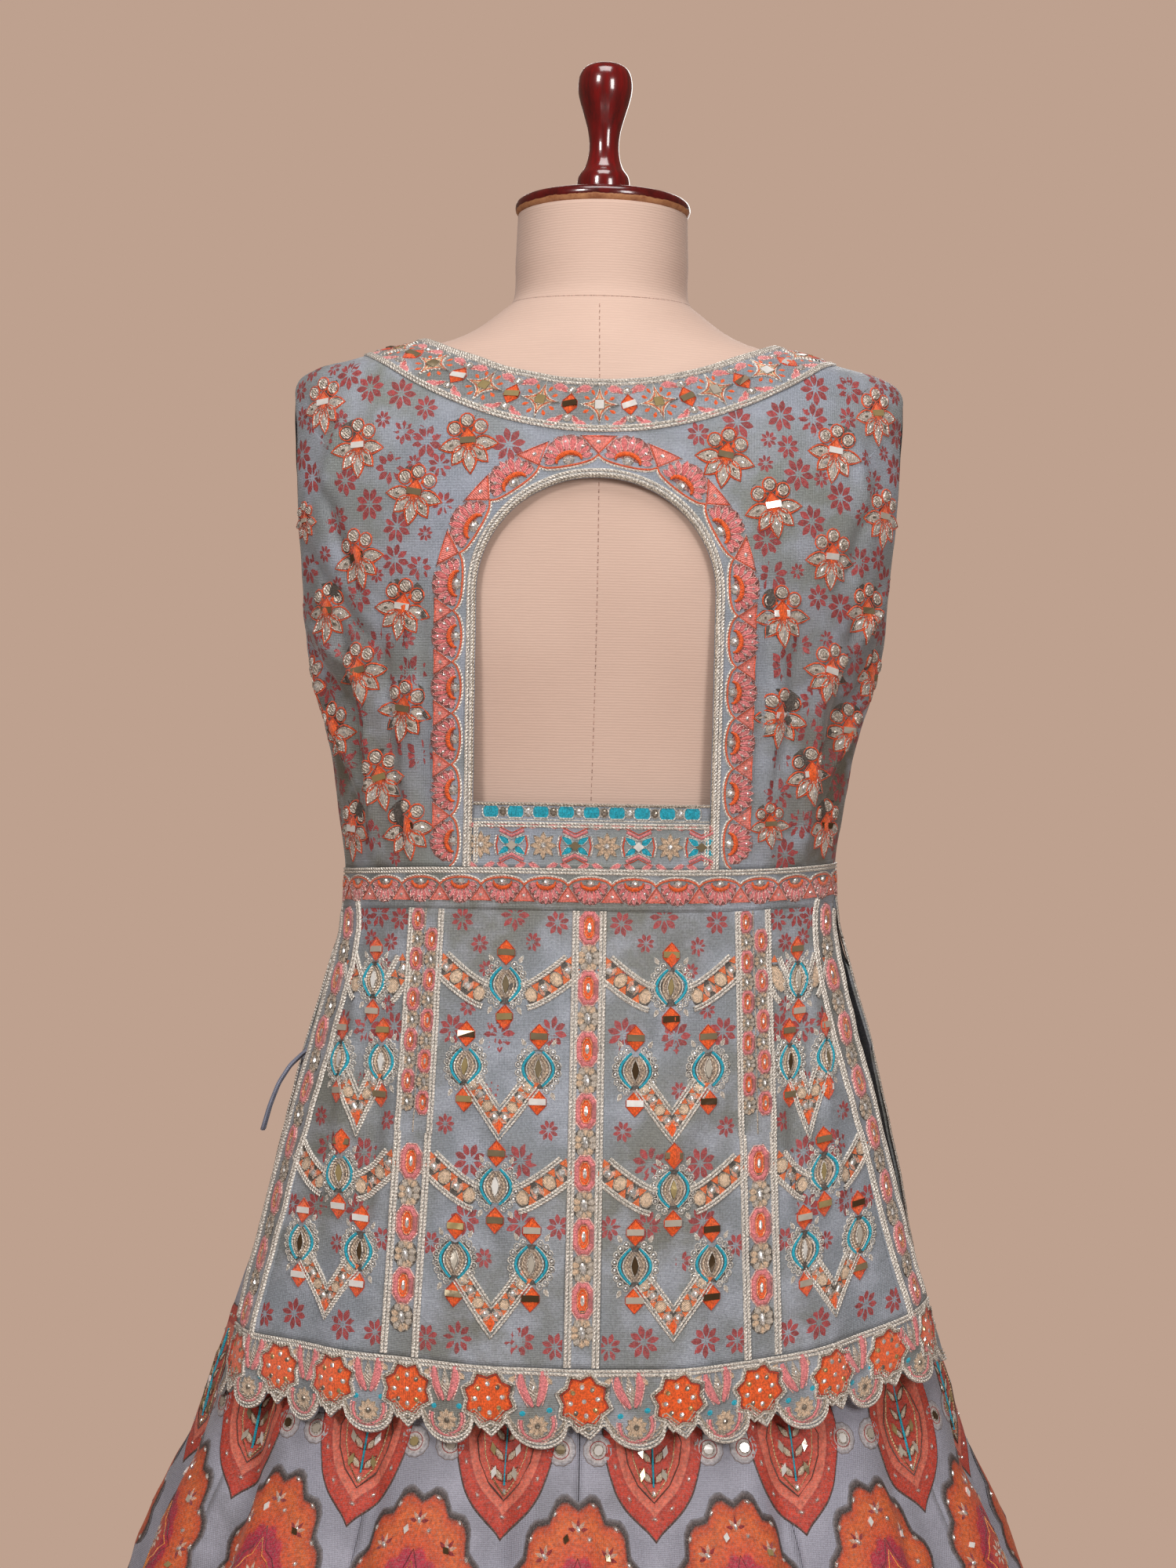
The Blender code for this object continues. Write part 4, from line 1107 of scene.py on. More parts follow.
def panel_patch(place, sign, first, last, z, count):
    """A grid between two of the half panel's lines; first may be 0 for the middle line."""
    lines = seam_x(z, place)
    low = 0 * z + HALF_SEAM if first == 0 else lines[first]
    share = np.linspace(0, 1, count)[None]
    x = low[:, None] + (lines[last] - low)[:, None] * share
    zz = np.repeat(z[:, None], count, axis=1)
    return sign * np.minimum(turn_at_x(x, zz), side_turn(zz)), zz


def build_peplum_cloth():
    """Eight gores, a centre and a side one on each side of each half."""
    z = np.linspace(WAIST_SEAM - HALF_SEAM, BORDER_LINE + HALF_SEAM, 84)
    for half in HALVES:
        for side, sign in (("right", 1), ("left", -1)):
            for name, first, last in (("centre", 0, "princess"), ("side", "princess", "edge")):
                title = f"peplum_{half}_{name}_{side}"
                patch = panel_patch(panel_place(half, side), sign, first, last, z, 30)
                piece = cloth(f"{title}_cloth", top_ground(half), [patch], -CLOTH, 0, PEPLUM_GREY)
                dressed(piece, "printed_silk", title)


def scallop(phase):
    """How far the border's edge hangs below its notches: a point at 0 and a round lobe at 0.5."""
    from_point = np.minimum(phase, 1 - phase) / POINT_SHARE
    from_round = np.abs(phase - 0.5) / ROUND_SHARE
    pointed = POINT_LOBE * np.maximum(0, 1 - from_point) ** 0.9
    rounded = ROUND_LOBE * np.sqrt(np.maximum(0.0, 1 - from_round**2))
    return np.where(from_point < 1, pointed, np.where(from_round < 1, rounded, 0.0))


def border_row(half, down, count, lift=0.0):
    """A line along the border: down is 0 at its top and 1 at its scalloped edge."""
    share = np.linspace(0, 1, count)
    top = BORDER_LINE - HALF_SEAM
    low = BORDER_NOTCH - scallop((share * BORDER_PERIODS + 0.5) % 1) + lift
    z = top + (low - top) * down
    left = -turn_at_x(side_edge(z, panel_place(half, "left")), z)
    right = turn_at_x(side_edge(z, panel_place(half, "right")), z)
    return left + (right - left) * share, z


def build_border_cloth():
    """The scalloped borders at the peplum's foot."""
    for half in HALVES:
        rows = [border_row(half, down, 34 * BORDER_PERIODS + 1) for down in np.linspace(0, 1, 16)]
        patch = np.array([r[0] for r in rows]), np.array([r[1] for r in rows])
        piece = cloth(f"hem_border_{half}_cloth", top_ground(half), [patch], -CLOTH, 0.0002, PEPLUM_GREY)
        dressed(piece, "silver_cord", f"hem_border_{half}")


def build_skirt_cloth():
    """Six gores to each half, with fine seams between them."""
    z = np.concatenate([np.linspace(WAISTBAND_BOTTOM - 0.0003, 0.74, 14), np.linspace(0.735, 0.60, 30)])
    z = np.concatenate([z, np.linspace(0.59, SKIRT_HEM, 38)])
    seams = np.linspace(-math.pi / 2 + 0.001, math.pi / 2 - 0.001, SKIRT_GORES + 1)
    half_gap, columns = 0.0007, 31
    for half in HALVES:
        patches = [
            np.meshgrid(np.linspace(left + half_gap, right - half_gap, columns), z)
            for left, right in zip(seams, seams[1:])
        ]
        piece = cloth(f"skirt_{half}_cloth", skirt_ground(half), patches, -CLOTH, 0, SKIRT_GREY)
        dressed(piece, "lehenga_silk", *(f"skirt_{half}_{k + 1}" for k in range(SKIRT_GORES)))


# Embroidery: raised work drawn on a ground with a pen


class Work:
    """One joined mesh of raised work on a ground."""

    def __init__(self, name, ground, base):
        self.name, self.ground, self.base = name, ground, base
        self.spots, self.outs, self.flats, self.tints = [], [], [], []
        self.quads, self.triangles, self.quad_picks, self.triangle_picks = [], [], [], []
        self.count = 0
        self.plain = ground.side < 0

    def add(self, spots, outs, flats, quads, triangles, tint, finish):
        self.spots.append(spots)
        self.outs.append(outs)
        self.flats.append(flats)
        tint = np.asarray(tint, float)
        self.tints.append(np.broadcast_to(tint, (len(spots), 3)))
        for faces, kept, picks in (
            (quads, self.quads, self.quad_picks),
            (triangles, self.triangles, self.triangle_picks),
        ):
            if len(faces):
                kept.append(np.asarray(faces) + self.count)
                picks.append(np.full(len(faces), finish))
        self.count += len(spots)

    def build(self, slot, *nodes):
        spots, outs = np.concatenate(self.spots), np.concatenate(self.outs)
        points = self.ground.at(spots[:, 0], spots[:, 1], outs + self.base)
        tints = np.column_stack([np.concatenate(self.tints), np.ones(len(points))])
        quads = np.concatenate(self.quads) if self.quads else np.zeros((0, 4), int)
        triangles = np.concatenate(self.triangles) if self.triangles else np.zeros((0, 3), int)
        if self.ground.side < 0:
            quads, triangles = quads[:, ::-1], triangles[:, ::-1]
        piece = mesh_object(
            self.name, points, quads, triangles, WORK_FINISHES,
            np.concatenate([*self.quad_picks, *self.triangle_picks]),
            np.concatenate(self.flats), tints, (GEM, MIRROR),
        )
        return dressed(piece, slot, *nodes)


def ring(x, y, across, tall, sides, start=0.0):
    angle = start + round_steps(sides)
    return np.column_stack([x + across * np.cos(angle), y + tall * np.sin(angle)])


# Painted reflections: the mirrors' tints, white, tan and dark, for the lamps and the room they would reflect
PAINTED_REFLECTION_TINTS = [linear(*row) for row in (
    (255, 255, 252), (176, 158, 112), (250, 248, 244), (84, 66, 46), (206, 198, 184),
    (140, 126, 100),
)]
TILTS = np.random.default_rng(11).uniform(-0.16, 0.16, (997, 2))
REFLECTION_PICKS = np.random.default_rng(12).integers(0, len(PAINTED_REFLECTION_TINTS), 997)
# Painted sparkle: a brightness for each point of a stone's tint, for facets that catch or miss the light
PAINTED_SPARKLE = np.random.default_rng(13).uniform(0.55, 1.12, 4096)
glass_count = iter(range(10**9))


def leaf(length, width, count=5, blunt=0.5):
    """A leaf's outline from its foot at 0 to its tip at length along y; blunt moves its belly."""
    along = np.linspace(0, 1, count + 1)
    half = width / 2 * np.sin(math.pi * along**blunt) ** 0.9
    right = np.column_stack([half, along * length])
    left = np.column_stack([-half[-2:0:-1], along[-2:0:-1] * length])
    return np.concatenate([right, left])


def turned(points, angle):
    c, s = math.cos(angle), math.sin(angle)
    return np.asarray(points) @ np.array([[c, s], [-s, c]])


# Millimetres that a fill of many tints stands out
TIER_RISE = 0.42


class Pen:
    """Draws in millimetres from a spot on the ground; where gives a drawing's places on it."""

    def __init__(self, work, where):
        self.work, self.where = work, where

    def moved(self, x=0.0, y=0.0, angle=0.0, scale=1.0):
        return Pen(self.work, lambda p: self.where(turned(np.asarray(p) * scale, angle) + (x, y)))

    def backwards(self, outline):
        """Whether an outline runs clockwise on the ground, once it is drawn."""
        p = self.where(np.array([outline[0], outline[0] + (0.1, 0), outline[0] + (0, 0.1)]))
        a, b = p[1] - p[0], p[2] - p[0]
        after = np.roll(outline, -1, axis=0)
        turning = np.sum(after[:, 1] * outline[:, 0] - after[:, 0] * outline[:, 1])
        return (turning > 0) != (a[0] * b[1] - a[1] * b[0] > 0)

    def domed(self, outline, rings):
        """The quads and the closing triangles of an outline's rings, turned outwards."""
        sides = len(outline)
        quads, last = stacked(rings, sides), closing((rings - 1) * sides, sides, rings * sides)
        if self.backwards(outline):
            return quads[:, ::-1], last[:, ::-1]
        return quads, last

    def line(self, path, width, rise, tint, finish=ZARI, closed=False):
        """A laid cord: a low ridge along a path."""
        path = np.asarray(path, float)
        normal = normals(path, closed)
        width = np.broadcast_to(np.asarray(width, float), len(path))
        thin = width.max() < (1.9 if self.work.plain else 1.3)
        offsets = np.array([0.5, 0.0, -0.5] if thin else [0.5, 0.28, -0.28, -0.5])
        lifts = np.array([0.0, 1.0, 0.0] if thin else [0.0, 1.0, 1.0, 0.0])
        across = len(offsets)
        points = path[:, None] + normal[:, None] * offsets[None, :, None] * width[:, None, None]
        outs = np.repeat((rise * lifts)[None], len(path), axis=0)
        along = run_along(path)
        flats = np.stack(np.broadcast_arrays(along[:, None], offsets[None] * width[:, None]), -1)
        index = np.arange(len(path) * across).reshape(len(path), across)
        following = np.roll(index, -1, axis=0)
        if not closed:
            index, following = index[:-1], following[:-1]
        quads = np.stack([index[:, :-1], index[:, 1:], following[:, 1:], following[:, :-1]], -1)
        quads = quads.reshape(-1, 4)
        if self.backwards(np.array([path[0], path[0] + (1, 0), path[0] + (1, 1)])):
            quads = quads[:, ::-1]
        self.work.add(
            self.where(points.reshape(-1, 2)), outs.ravel() / 1000, flats.reshape(-1, 2) / 1000,
            quads, [], tint, finish,
        )

    def loop(self, outline, *looks):
        """A cord laid round an outline."""
        self.line(outline, *looks, closed=True)

    def pair(self, path, width, rise):
        """Two silver cords laid side by side."""
        path = np.asarray(path, float)
        normal, gap = normals(path), 0.25
        for side in (-0.5, 0.5):
            self.line(path + normal * side * (width + gap), width, rise, SILVER)

    def fill(self, outline, rise, tint, finish=THREAD, centre=None, rings=2, inner=None):
        """A filled shape that swells by rise towards its centre; inner is its tint there."""
        outline = np.asarray(outline, float)
        centre = outline.mean(axis=0) if centre is None else np.asarray(centre, float)
        sides = len(outline)
        if self.work.plain or sides < 12 and np.ptp(outline, axis=0).max() < 9.5 and rise < 1.2:
            rings = 1
        shares = np.linspace(1, 0, rings + 1)[:-1]
        points = np.concatenate([centre + (outline - centre) * k for k in shares] + [centre[None]])
        lifts = np.concatenate([np.full(sides, math.sqrt(1 - k * k)) for k in shares] + [[1.0]])
        shade = np.concatenate([np.full(sides, 1 - k) for k in shares] + [[1.0]])
        tint = np.asarray(tint, float)
        if inner is not None:
            tint = tint + (np.asarray(inner) - tint) * shade[:, None]
        # Stones: each point's tint made brighter or darker, painted sparkle of facets that catch or miss the
        # light
        if finish == GEM:
            first = int(abs(points[0].sum()) * 997 + self.work.count) % 3800
            tint = tint * PAINTED_SPARKLE[first : first + len(points), None]
        quads, last = self.domed(outline, rings)
        self.work.add(self.where(points), rise * lifts / 1000, points / 1000, quads, last, tint, finish)

    def tiers(self, outline, tints, centre, step):
        """A level fill whose tint changes from its rim to its centre, in cells no wider than step."""
        outline, centre = np.asarray(outline, float), np.asarray(centre, float)
        reach = np.linalg.norm(outline - centre, axis=1).max()
        marks = np.array([share for share, _ in tints])
        colours = np.array([tint for _, tint in tints])
        shares = [marks[0]]
        for here, after in zip(marks, marks[1:]):
            count = max(1, math.ceil((here - after) * reach / step))
            shares += list(np.linspace(here, after, count + 1)[1:])
        shares = np.array(shares[:-1])
        sides, rings = len(outline), len(shares)
        points = np.concatenate([centre + (outline - centre) * k for k in shares] + [centre[None]])
        at = np.append(np.repeat(shares, sides), 0.0)
        tint = np.column_stack([np.interp(-at, -marks, colours[:, k]) for k in range(3)])
        quads, last = self.domed(outline, rings)
        outs = np.full(len(points), TIER_RISE)
        outs[:sides] = 0.0
        self.work.add(self.where(points), outs / 1000, points / 1000, quads, last, tint, PRINT)

    def stone(self, x, y, radius, tall=None, angle=0.0, tint=CRYSTAL, setting=DULL_SILVER):
        """A cut stone in a ring of thread."""
        tall = radius if tall is None else tall
        sides = 8 if max(radius, tall) > 1.6 else 6
        outline = turned(ring(0, 0, radius, tall, sides), angle) + (x, y)
        self.loop(outline, 0.6, 0.6, setting, ZARI)
        self.fill(turned(ring(0, 0, radius * 0.86, tall * 0.86, sides, 0.3), angle) + (x, y), 1.2, tint, GEM)

    def bead(self, x, y, radius, tint=CRYSTAL):
        self.fill(ring(x, y, radius, radius, 6), radius * 1.2, tint, GEM)

    def petal(self, x, y, angle, length, width, tint, edge=None, rise=0.5, gem=False, blunt=0.6):
        outline = turned(leaf(length, width, 4, blunt), angle) + (x, y)
        self.fill(outline, rise, tint)
        if edge is not None and not self.work.plain:
            self.loop(outline, 0.55, rise * 0.9, edge, ZARI)
        if gem:
            middle = turned([[0, length * 0.52]], angle)[0] + (x, y)
            self.stone(middle[0], middle[1], width * 0.22, length * 0.22, angle)

    def glass(self, outline, base):
        """A flat mirror, tilted a little so that each catches other light, its tint a painted reflection,
        bright, tan or dark.
        """
        outline = np.asarray(outline, float)
        number = next(glass_count)
        lean = (outline - outline.mean(axis=0)) @ TILTS[number % len(TILTS)]
        sides = len(outline)
        points = np.concatenate([outline, outline])
        outs = np.concatenate([np.zeros(sides), base + lean])
        index = np.arange(sides)
        after = np.roll(index, -1)
        quads = np.column_stack([index, after, after + sides, index + sides])
        fan = np.column_stack([np.full(sides - 2, sides), sides + index[1:-1], sides + index[2:]])
        if self.backwards(outline):
            quads, fan = quads[:, ::-1], fan[:, ::-1]
        # Painted reflection: the mirror's tint
        tint = PAINTED_REFLECTION_TINTS[REFLECTION_PICKS[number % len(REFLECTION_PICKS)]]
        self.work.add(self.where(points), outs / 1000, points / 1000, quads, fan, tint, MIRROR)


def straight(s, z):
    """Places on the flat cloth from a spot, for drawings in millimetres."""
    return lambda p: np.asarray(p) / 1000 + (s, z)


class Track:
    """A line on the flat cloth that drawings follow: x runs along it and y to its left."""

    def __init__(self, s, z, across=None):
        self.points = np.column_stack([s, z])
        self.run = run_along(self.points)
        tangent = np.gradient(self.points, axis=0)
        left = np.column_stack([-tangent[:, 1], tangent[:, 0]]) if across is None else across
        self.left = left / np.linalg.norm(left, axis=1, keepdims=True)
        self.length = self.run[-1] * 1000

    def where(self, p):
        p = np.asarray(p) / 1000
        spots, ways = (on_path(p[:, 0], self.run, v) for v in (self.points, self.left))
        return np.column_stack([spots[k] + ways[k] * p[:, 1] for k in (0, 1)])


def along(length, y, step):
    """A level path in a track's own millimetres."""
    count = max(2, int(length / step) + 1)
    return np.column_stack([np.linspace(0, length, count), np.full(count, float(y))])


# Motifs, in millimetres


def normals(path, closed=False):
    """The directions square to a path, at each of its points."""
    if closed:
        before, after = np.roll(path, 1, axis=0), np.roll(path, -1, axis=0)
    else:
        before, after = np.concatenate([path[:1], path[:-1]]), np.concatenate([path[1:], path[-1:]])
    tangent = after - before
    tangent = tangent / np.maximum(np.linalg.norm(tangent, axis=1, keepdims=True), 1e-9)
    return np.column_stack([-tangent[:, 1], tangent[:, 0]])


def mirror_diamond(pen, wide, tall, slant=0.0):
    """An orange lozenge with a strip of mirror across it."""
    w, h = wide / 2, tall / 2
    outline = [
        (w, 1.7), (w * 0.5, h * 0.62), (0, h), (-w * 0.5, h * 0.62), (-w, 1.7),
        (-w, -1.7), (-w * 0.5, -h * 0.62), (0, -h), (w * 0.5, -h * 0.62), (w, -1.7),
    ]
    pen.fill(outline, 1.0, ORANGE)
    pen.loop(outline, 0.6, 0.9, DEEP_ORANGE, THREAD)
    strip = turned([(w * 0.97, 1.8), (-w * 0.97, 1.8), (-w * 0.97, -1.8), (w * 0.97, -1.8)], slant)
    pen.glass(strip, 1.35)


def four_point_star(pen):
    """A star in three outlines about a square mirror, with small leaves between its points."""
    for k in range(4):
        for side in (-0.30, 0.30):
            angle = math.pi / 4 + k * math.pi / 2 + side
            foot = (6.6 * math.cos(angle), 6.6 * math.sin(angle))
            pen.petal(*foot, angle - math.pi / 2, 4.2, 2.2, ORANGE, blunt=1.3)
    angle = round_steps(32)
    bend = 0.56
    radius = (np.abs(np.cos(angle)) ** bend + np.abs(np.sin(angle)) ** bend) ** (-1 / bend)
    reach = 11.6
    star = np.column_stack([radius * np.cos(angle), radius * np.sin(angle)]) * reach
    pen.fill(star * 1.06, 0.5, linear(170, 150, 138), centre=(0, 0), rings=3)
    pen.loop(star, 1.1, 1.3, SILVER)
    pen.loop(star * 0.82, 1.2, 1.3, linear(226, 112, 70), THREAD)
    pen.loop(star * 0.64, 1.0, 1.2, linear(236, 206, 164), THREAD)
    square = np.array([(2.9, 2.9), (-2.9, 2.9), (-2.9, -2.9), (2.9, -2.9)])
    pen.loop(square, 0.8, 1.5, DULL_SILVER)
    pen.glass(square * 0.92, 1.6)


def diamond_with_leaves(pen):
    mirror_diamond(pen, 9.0, 13.0, 0.22)
    for up in (1, -1):
        pen.stone(0, up * 8.6, 2.4)
        for side in (-1, 1):
            angle = -side * math.radians(84 if up > 0 else 118)
            pen.petal(side * 2.4, up * 9.4, angle, 10.6, 4.8, PINK, PALE_PINK, blunt=1.3)
            angle = -side * math.radians(58 if up > 0 else 140)
            pen.petal(side * 2.6, up * 7.0, angle, 7.0, 2.8, DEEP_PINK, PALE_PINK, blunt=1.1)


def neck_work(half):
    """Stars and mirror diamonds in turn round the neck band, between pairs of cords."""
    ground = top_ground(half)
    low, high = neck_lines(half)
    work = Work(f"neck_band_{half}_work", ground, 0.0003)
    low_s, high_s = ground.s_at(*low), ground.s_at(*high)
    middle = np.column_stack([(low_s + high_s) / 2, (low[1] + high[1]) / 2])[::-1]
    up = np.column_stack([high_s - low_s, high[1] - low[1]])[::-1]
    track = Track(middle[:, 0], middle[:, 1], up)
    pen = Pen(work, track.where)
    half_tall = np.linalg.norm(up, axis=1) / 2 * 1000
    x = track.run * 1000
    for side in (-1, 1):
        pen.pair(np.column_stack([x, side * (half_tall - 2.2)])[::2], 2.0, 1.1)
    count = max(9, round(track.length / 18.3))
    count += 1 - count % 2
    pitch = track.length / count
    for k in range(count):
        here = (k + 0.5) * pitch
        tall = np.interp(here, x, half_tall) / 16.5
        spot = pen.moved(here, 0, scale=min(1.0, tall))
        if (k - count // 2) % 2 == 0:
            four_point_star(spot)
        else:
            diamond_with_leaves(spot)
    for k in range(2 * count):
        here = (k + 0.5) * pitch / 2
        edge = np.interp(here, x, half_tall) - 5.0
        for side in (-1, 1):
            pen.bead(here, side * edge, 0.8)
    return work


def fan(pen):
    """Pink petals that ray out over an orange crescent and a round stone."""
    wide, tall, petals = 25.0, 15.5, 9
    right = [(12.6, 1.0), (12.4, 7.0), (8.6, 12.6), (3.0, 15.8)]
    outline = np.array(right + [(-x, y) for x, y in right[::-1]])
    pen.fill(outline, 0.25, linear(150, 104, 100), ZARI, centre=(0, 3))
    for k, share in enumerate(np.linspace(0, 1, petals)):
        angle = math.radians(8 + 164 * share)
        across, up = math.cos(angle), math.sin(angle)
        start = np.array([6.0 * across, 3.6 * up + 0.6])
        reach = np.array([wide / 2 * across, tall * up + 0.6]) - start
        lean = math.atan2(-reach[0], reach[1])
        tint = PINK if k % 2 == 0 else linear(214, 112, 112)
        pen.petal(*start, lean, np.linalg.norm(reach), 3.5, tint, PALE_PINK, 1.0, blunt=1.2)
    arc = np.linspace(math.radians(-6), math.radians(186), 11)
    path = np.column_stack([6.6 * np.cos(arc), 4.6 * np.sin(arc)])
    pen.line(path, 3.4 * np.sin(np.linspace(0.25, math.pi - 0.25, 11)), 1.3, ORANGE, THREAD)
    pen.stone(0, 0.4, 2.8)
    pen.stone(0, 11.4, 1.4)
    for side in (-1, 1):
        pen.stone(side * 7.6, 7.4, 1.2)


def stone_triangle(pen):
    """A pink triangle that hangs from a cusp, set with a stone."""
    wide, tall = 14.5, 11.0
    outline = [(0, 0), (wide / 2, tall), (0, tall * 0.96), (-wide / 2, tall)]
    pen.fill(outline, 0.6, linear(226, 128, 116), centre=(0, tall * 0.62))
    pen.loop(outline, 1.1, 1.0, linear(230, 96, 62), THREAD)
    pen.loop(np.array(outline) * (1.18, 1.10) + (0, -0.8), 0.6, 0.7, PALE_PINK)
    pen.stone(0, tall * 0.62, 1.9)


def fan_border(work, track, count, base, size, edge=True):
    """Fans under a scalloped cord, with triangles in its cusps; y runs away from the plain edge."""
    pen = Pen(work, track.where)
    pitch = track.length / count
    for k in range(count):
        here = (k + 0.5) * pitch
        share = np.linspace(-1, 1, 15)
        dip = 6.6 * size * (1 - np.sqrt(np.maximum(0, 1 - share**2 * 0.96)))
        path = np.column_stack([here + share * pitch / 2, base + dip])
        pen.line(path, 1.2, 1.0, SILVER)
        pen.line(path + (0, 1.3), 1.2, 1.0, linear(226, 104, 66), THREAD)
        fan(pen.moved(here, base + 4.4 * size, scale=size * min(1.0, pitch / (28 * size))))
    for k in range(count + 1):
        if 0 < k < count or edge:
            at = min(max(k * pitch, 7.0), track.length - 7.0)
            stone_triangle(pen.moved(at, base + 7.4 * size, scale=size * min(1.0, pitch / (28 * size))))


def embroidered_flower(pen, size):
    """Three round buds over an orange lozenge, and five pointed petals below it."""
    pen = pen.moved(scale=size)
    rim = linear(226, 84, 34)
    petals = ((-98, 13.4), (-140, 12.2), (180, 14.4), (140, 12.2), (98, 13.4))
    # Painted shadow: dark sheets under the petals and the buds, for the shade round the raised work
    for angle, long in petals:
        turn = math.radians(angle)
        foot = (-2.6 * math.sin(turn), 2.6 * math.cos(turn) - 1.0)
        shade = turned(leaf(long + 3.6, 10.2, 5, 0.8) - (0, 1.2), turn) + foot
        pen.fill(shade, 0.12, PAINTED_SHADOW, PRINT, rings=1)
    pen.fill(ring(0, 8.0, 12.4, 8.0, 12), 0.10, PAINTED_SHADOW, PRINT, rings=1)
    for angle, long in petals:
        turn = math.radians(angle)
        foot = (-3.2 * math.sin(turn), 3.2 * math.cos(turn) - 1.0)
        pen.petal(*foot, turn, long, 5.8, FILIGREE, SILVER, 1.0, blunt=0.8)
        outline = turned(leaf(long + 1.8, 8.2, 5, 0.8) - (0, 0.8), turn) + foot
        pen.loop(outline, 1.0, 0.9, rim, THREAD)
        middle = turned([[0, long * 0.50]], turn)[0] + foot
        pen.stone(*middle, 1.7, 3.1, turn, SMOKY if angle in (-140, 98) else CRYSTAL)
    for x, y in ((0, 11.6), (-7.6, 7.4), (7.6, 7.4)):
        pen.loop(ring(x, y, 4.3, 4.3, 11), 0.9, 0.9, rim, THREAD)
        pen.fill(ring(x, y, 3.4, 3.4, 9), 1.6, FILIGREE, ZARI)
        pen.loop(ring(x, y, 2.9, 2.9, 9), 0.8, 1.6, SILVER)
        pen.stone(x, y, 1.3)
    for side in (-1, 1):
        pen.petal(side * 3.4, -2.4, -side * 2.3, 5.2, 2.4, ORANGE)
        pen.petal(side * 2.6, 4.6, -side * 0.7, 4.6, 2.2, ORANGE)
    mirror_diamond(pen, 9.2, 15.0)


def printed_flower(pen, radius):
    """Blunt petals that stand apart round a small bare middle."""
    foot, petals = 0.17 * radius, 8
    for k in range(petals):
        angle = 2 * math.pi * k / petals
        length = radius * (0.98 + 0.05 * math.sin(5 * k)) - foot
        outline = turned(leaf(length, radius * 0.40, 5, 1.15), angle)
        outline = outline + (-foot * math.sin(angle), foot * math.cos(angle))
        shade = 1 + 0.16 * math.sin(3.7 * k + radius)
        pen.fill(outline, 0.06, np.array(BRICK) * shade, PRINT, rings=1)


def hexagon_ring(pen):
    """A pink ring of eight sides, orange inside, about an oval stone."""
    wide, tall = 11.6, 18.0
    w, h = wide / 2 - 1.6, tall / 2 - 1.6
    shape = np.array([
        (w, h * 0.50), (w * 0.45, h), (-w * 0.45, h), (-w, h * 0.50),
        (-w, -h * 0.50), (-w * 0.45, -h), (w * 0.45, -h), (w, -h * 0.50),
    ])
    # Painted shadow: a dark sheet round the ring, for the shade round the raised work
    pen.fill(shape * 1.34, 0.15, PAINTED_SHADOW, PRINT, rings=1)
    pen.fill(shape * 0.86, 0.6, ORANGE)
    pen.loop(shape, 2.9, 1.5, PINK, THREAD)
    pen.loop(shape * (1 + 1.7 / w, 1 + 1.7 / h), 0.9, 1.1, PALE_PINK)
    pen.loop(shape * (1 - 1.7 / w, 1 - 1.7 / h), 0.7, 1.3, linear(232, 170, 130))
    pen.stone(0, 0, 1.9, 4.2)


def beige_cluster(pen):
    """Beige petals packed round an oval stone, between two rings."""
    wide, tall = 12.4, 15.0
    # Painted shadow: a dark sheet under the cluster, for the shade round the raised work
    pen.fill(ring(0, 0, wide * 0.56, tall * 0.52, 12), 0.15, PAINTED_SHADOW, PRINT, rings=1)
    for k in range(10):
        angle = (k + 0.5) * math.pi / 5
        across, up = math.cos(angle), math.sin(angle)
        start = np.array([1.6 * across, 3.2 * up])
        reach = np.array([wide / 2 * across, tall / 2 * up]) - start
        lean = math.atan2(-reach[0], reach[1])
        tint = BEIGE if k % 3 else FILIGREE
        pen.petal(*start, lean, max(4.0, np.linalg.norm(reach)), 3.7, tint, DULL_SILVER, 0.9, blunt=1.1)
    pen.stone(0, 0, 2.0, 3.8, 0.22)


def strip_motifs(pen, length, size, phase, y=0.0):
    """Hexagons and petal clusters in turn down a strip."""
    pitch = 31.5 * max(0.72, size)
    count = int((length - 6) / (pitch / 2) - phase)
    for k in range(count + 1):
        at = pitch * (0.28 + phase) + k * pitch / 2
        if at < length - 6:
            here = pen.moved(at, y, math.pi / 2, size)
            (hexagon_ring if k % 2 == 0 else beige_cluster)(here)


def strip_work(work, track, wide, phase=0.0):
    """One column of motifs, with a pair of cords on each side."""
    pen = Pen(work, track.where)
    for side in (-1, 1):
        pen.pair(along(track.length, side * (wide / 2 - 2.0), 3.0), 2.1, 1.3)
    strip_motifs(pen, track.length, min(1.12, (wide - 7.0) / 11.0), phase)


def doubled_strip_work(work, track, wide):
    """Two columns of motifs, a pair of cords at each edge and a thin one between them."""
    pen = Pen(work, track.where)
    for side in (-1, 1):
        pen.pair(along(track.length, side * (wide / 2 - 1.8), 3.0), 1.8, 1.2)
        size = (wide - 7.4) / 2 / 11.0
        strip_motifs(pen, track.length, size, 0.25 * side + 0.25, side * (wide / 4 - 0.9))
    pen.line(along(track.length, 0, 3.0), 0.8, 0.9, DULL_SILVER)


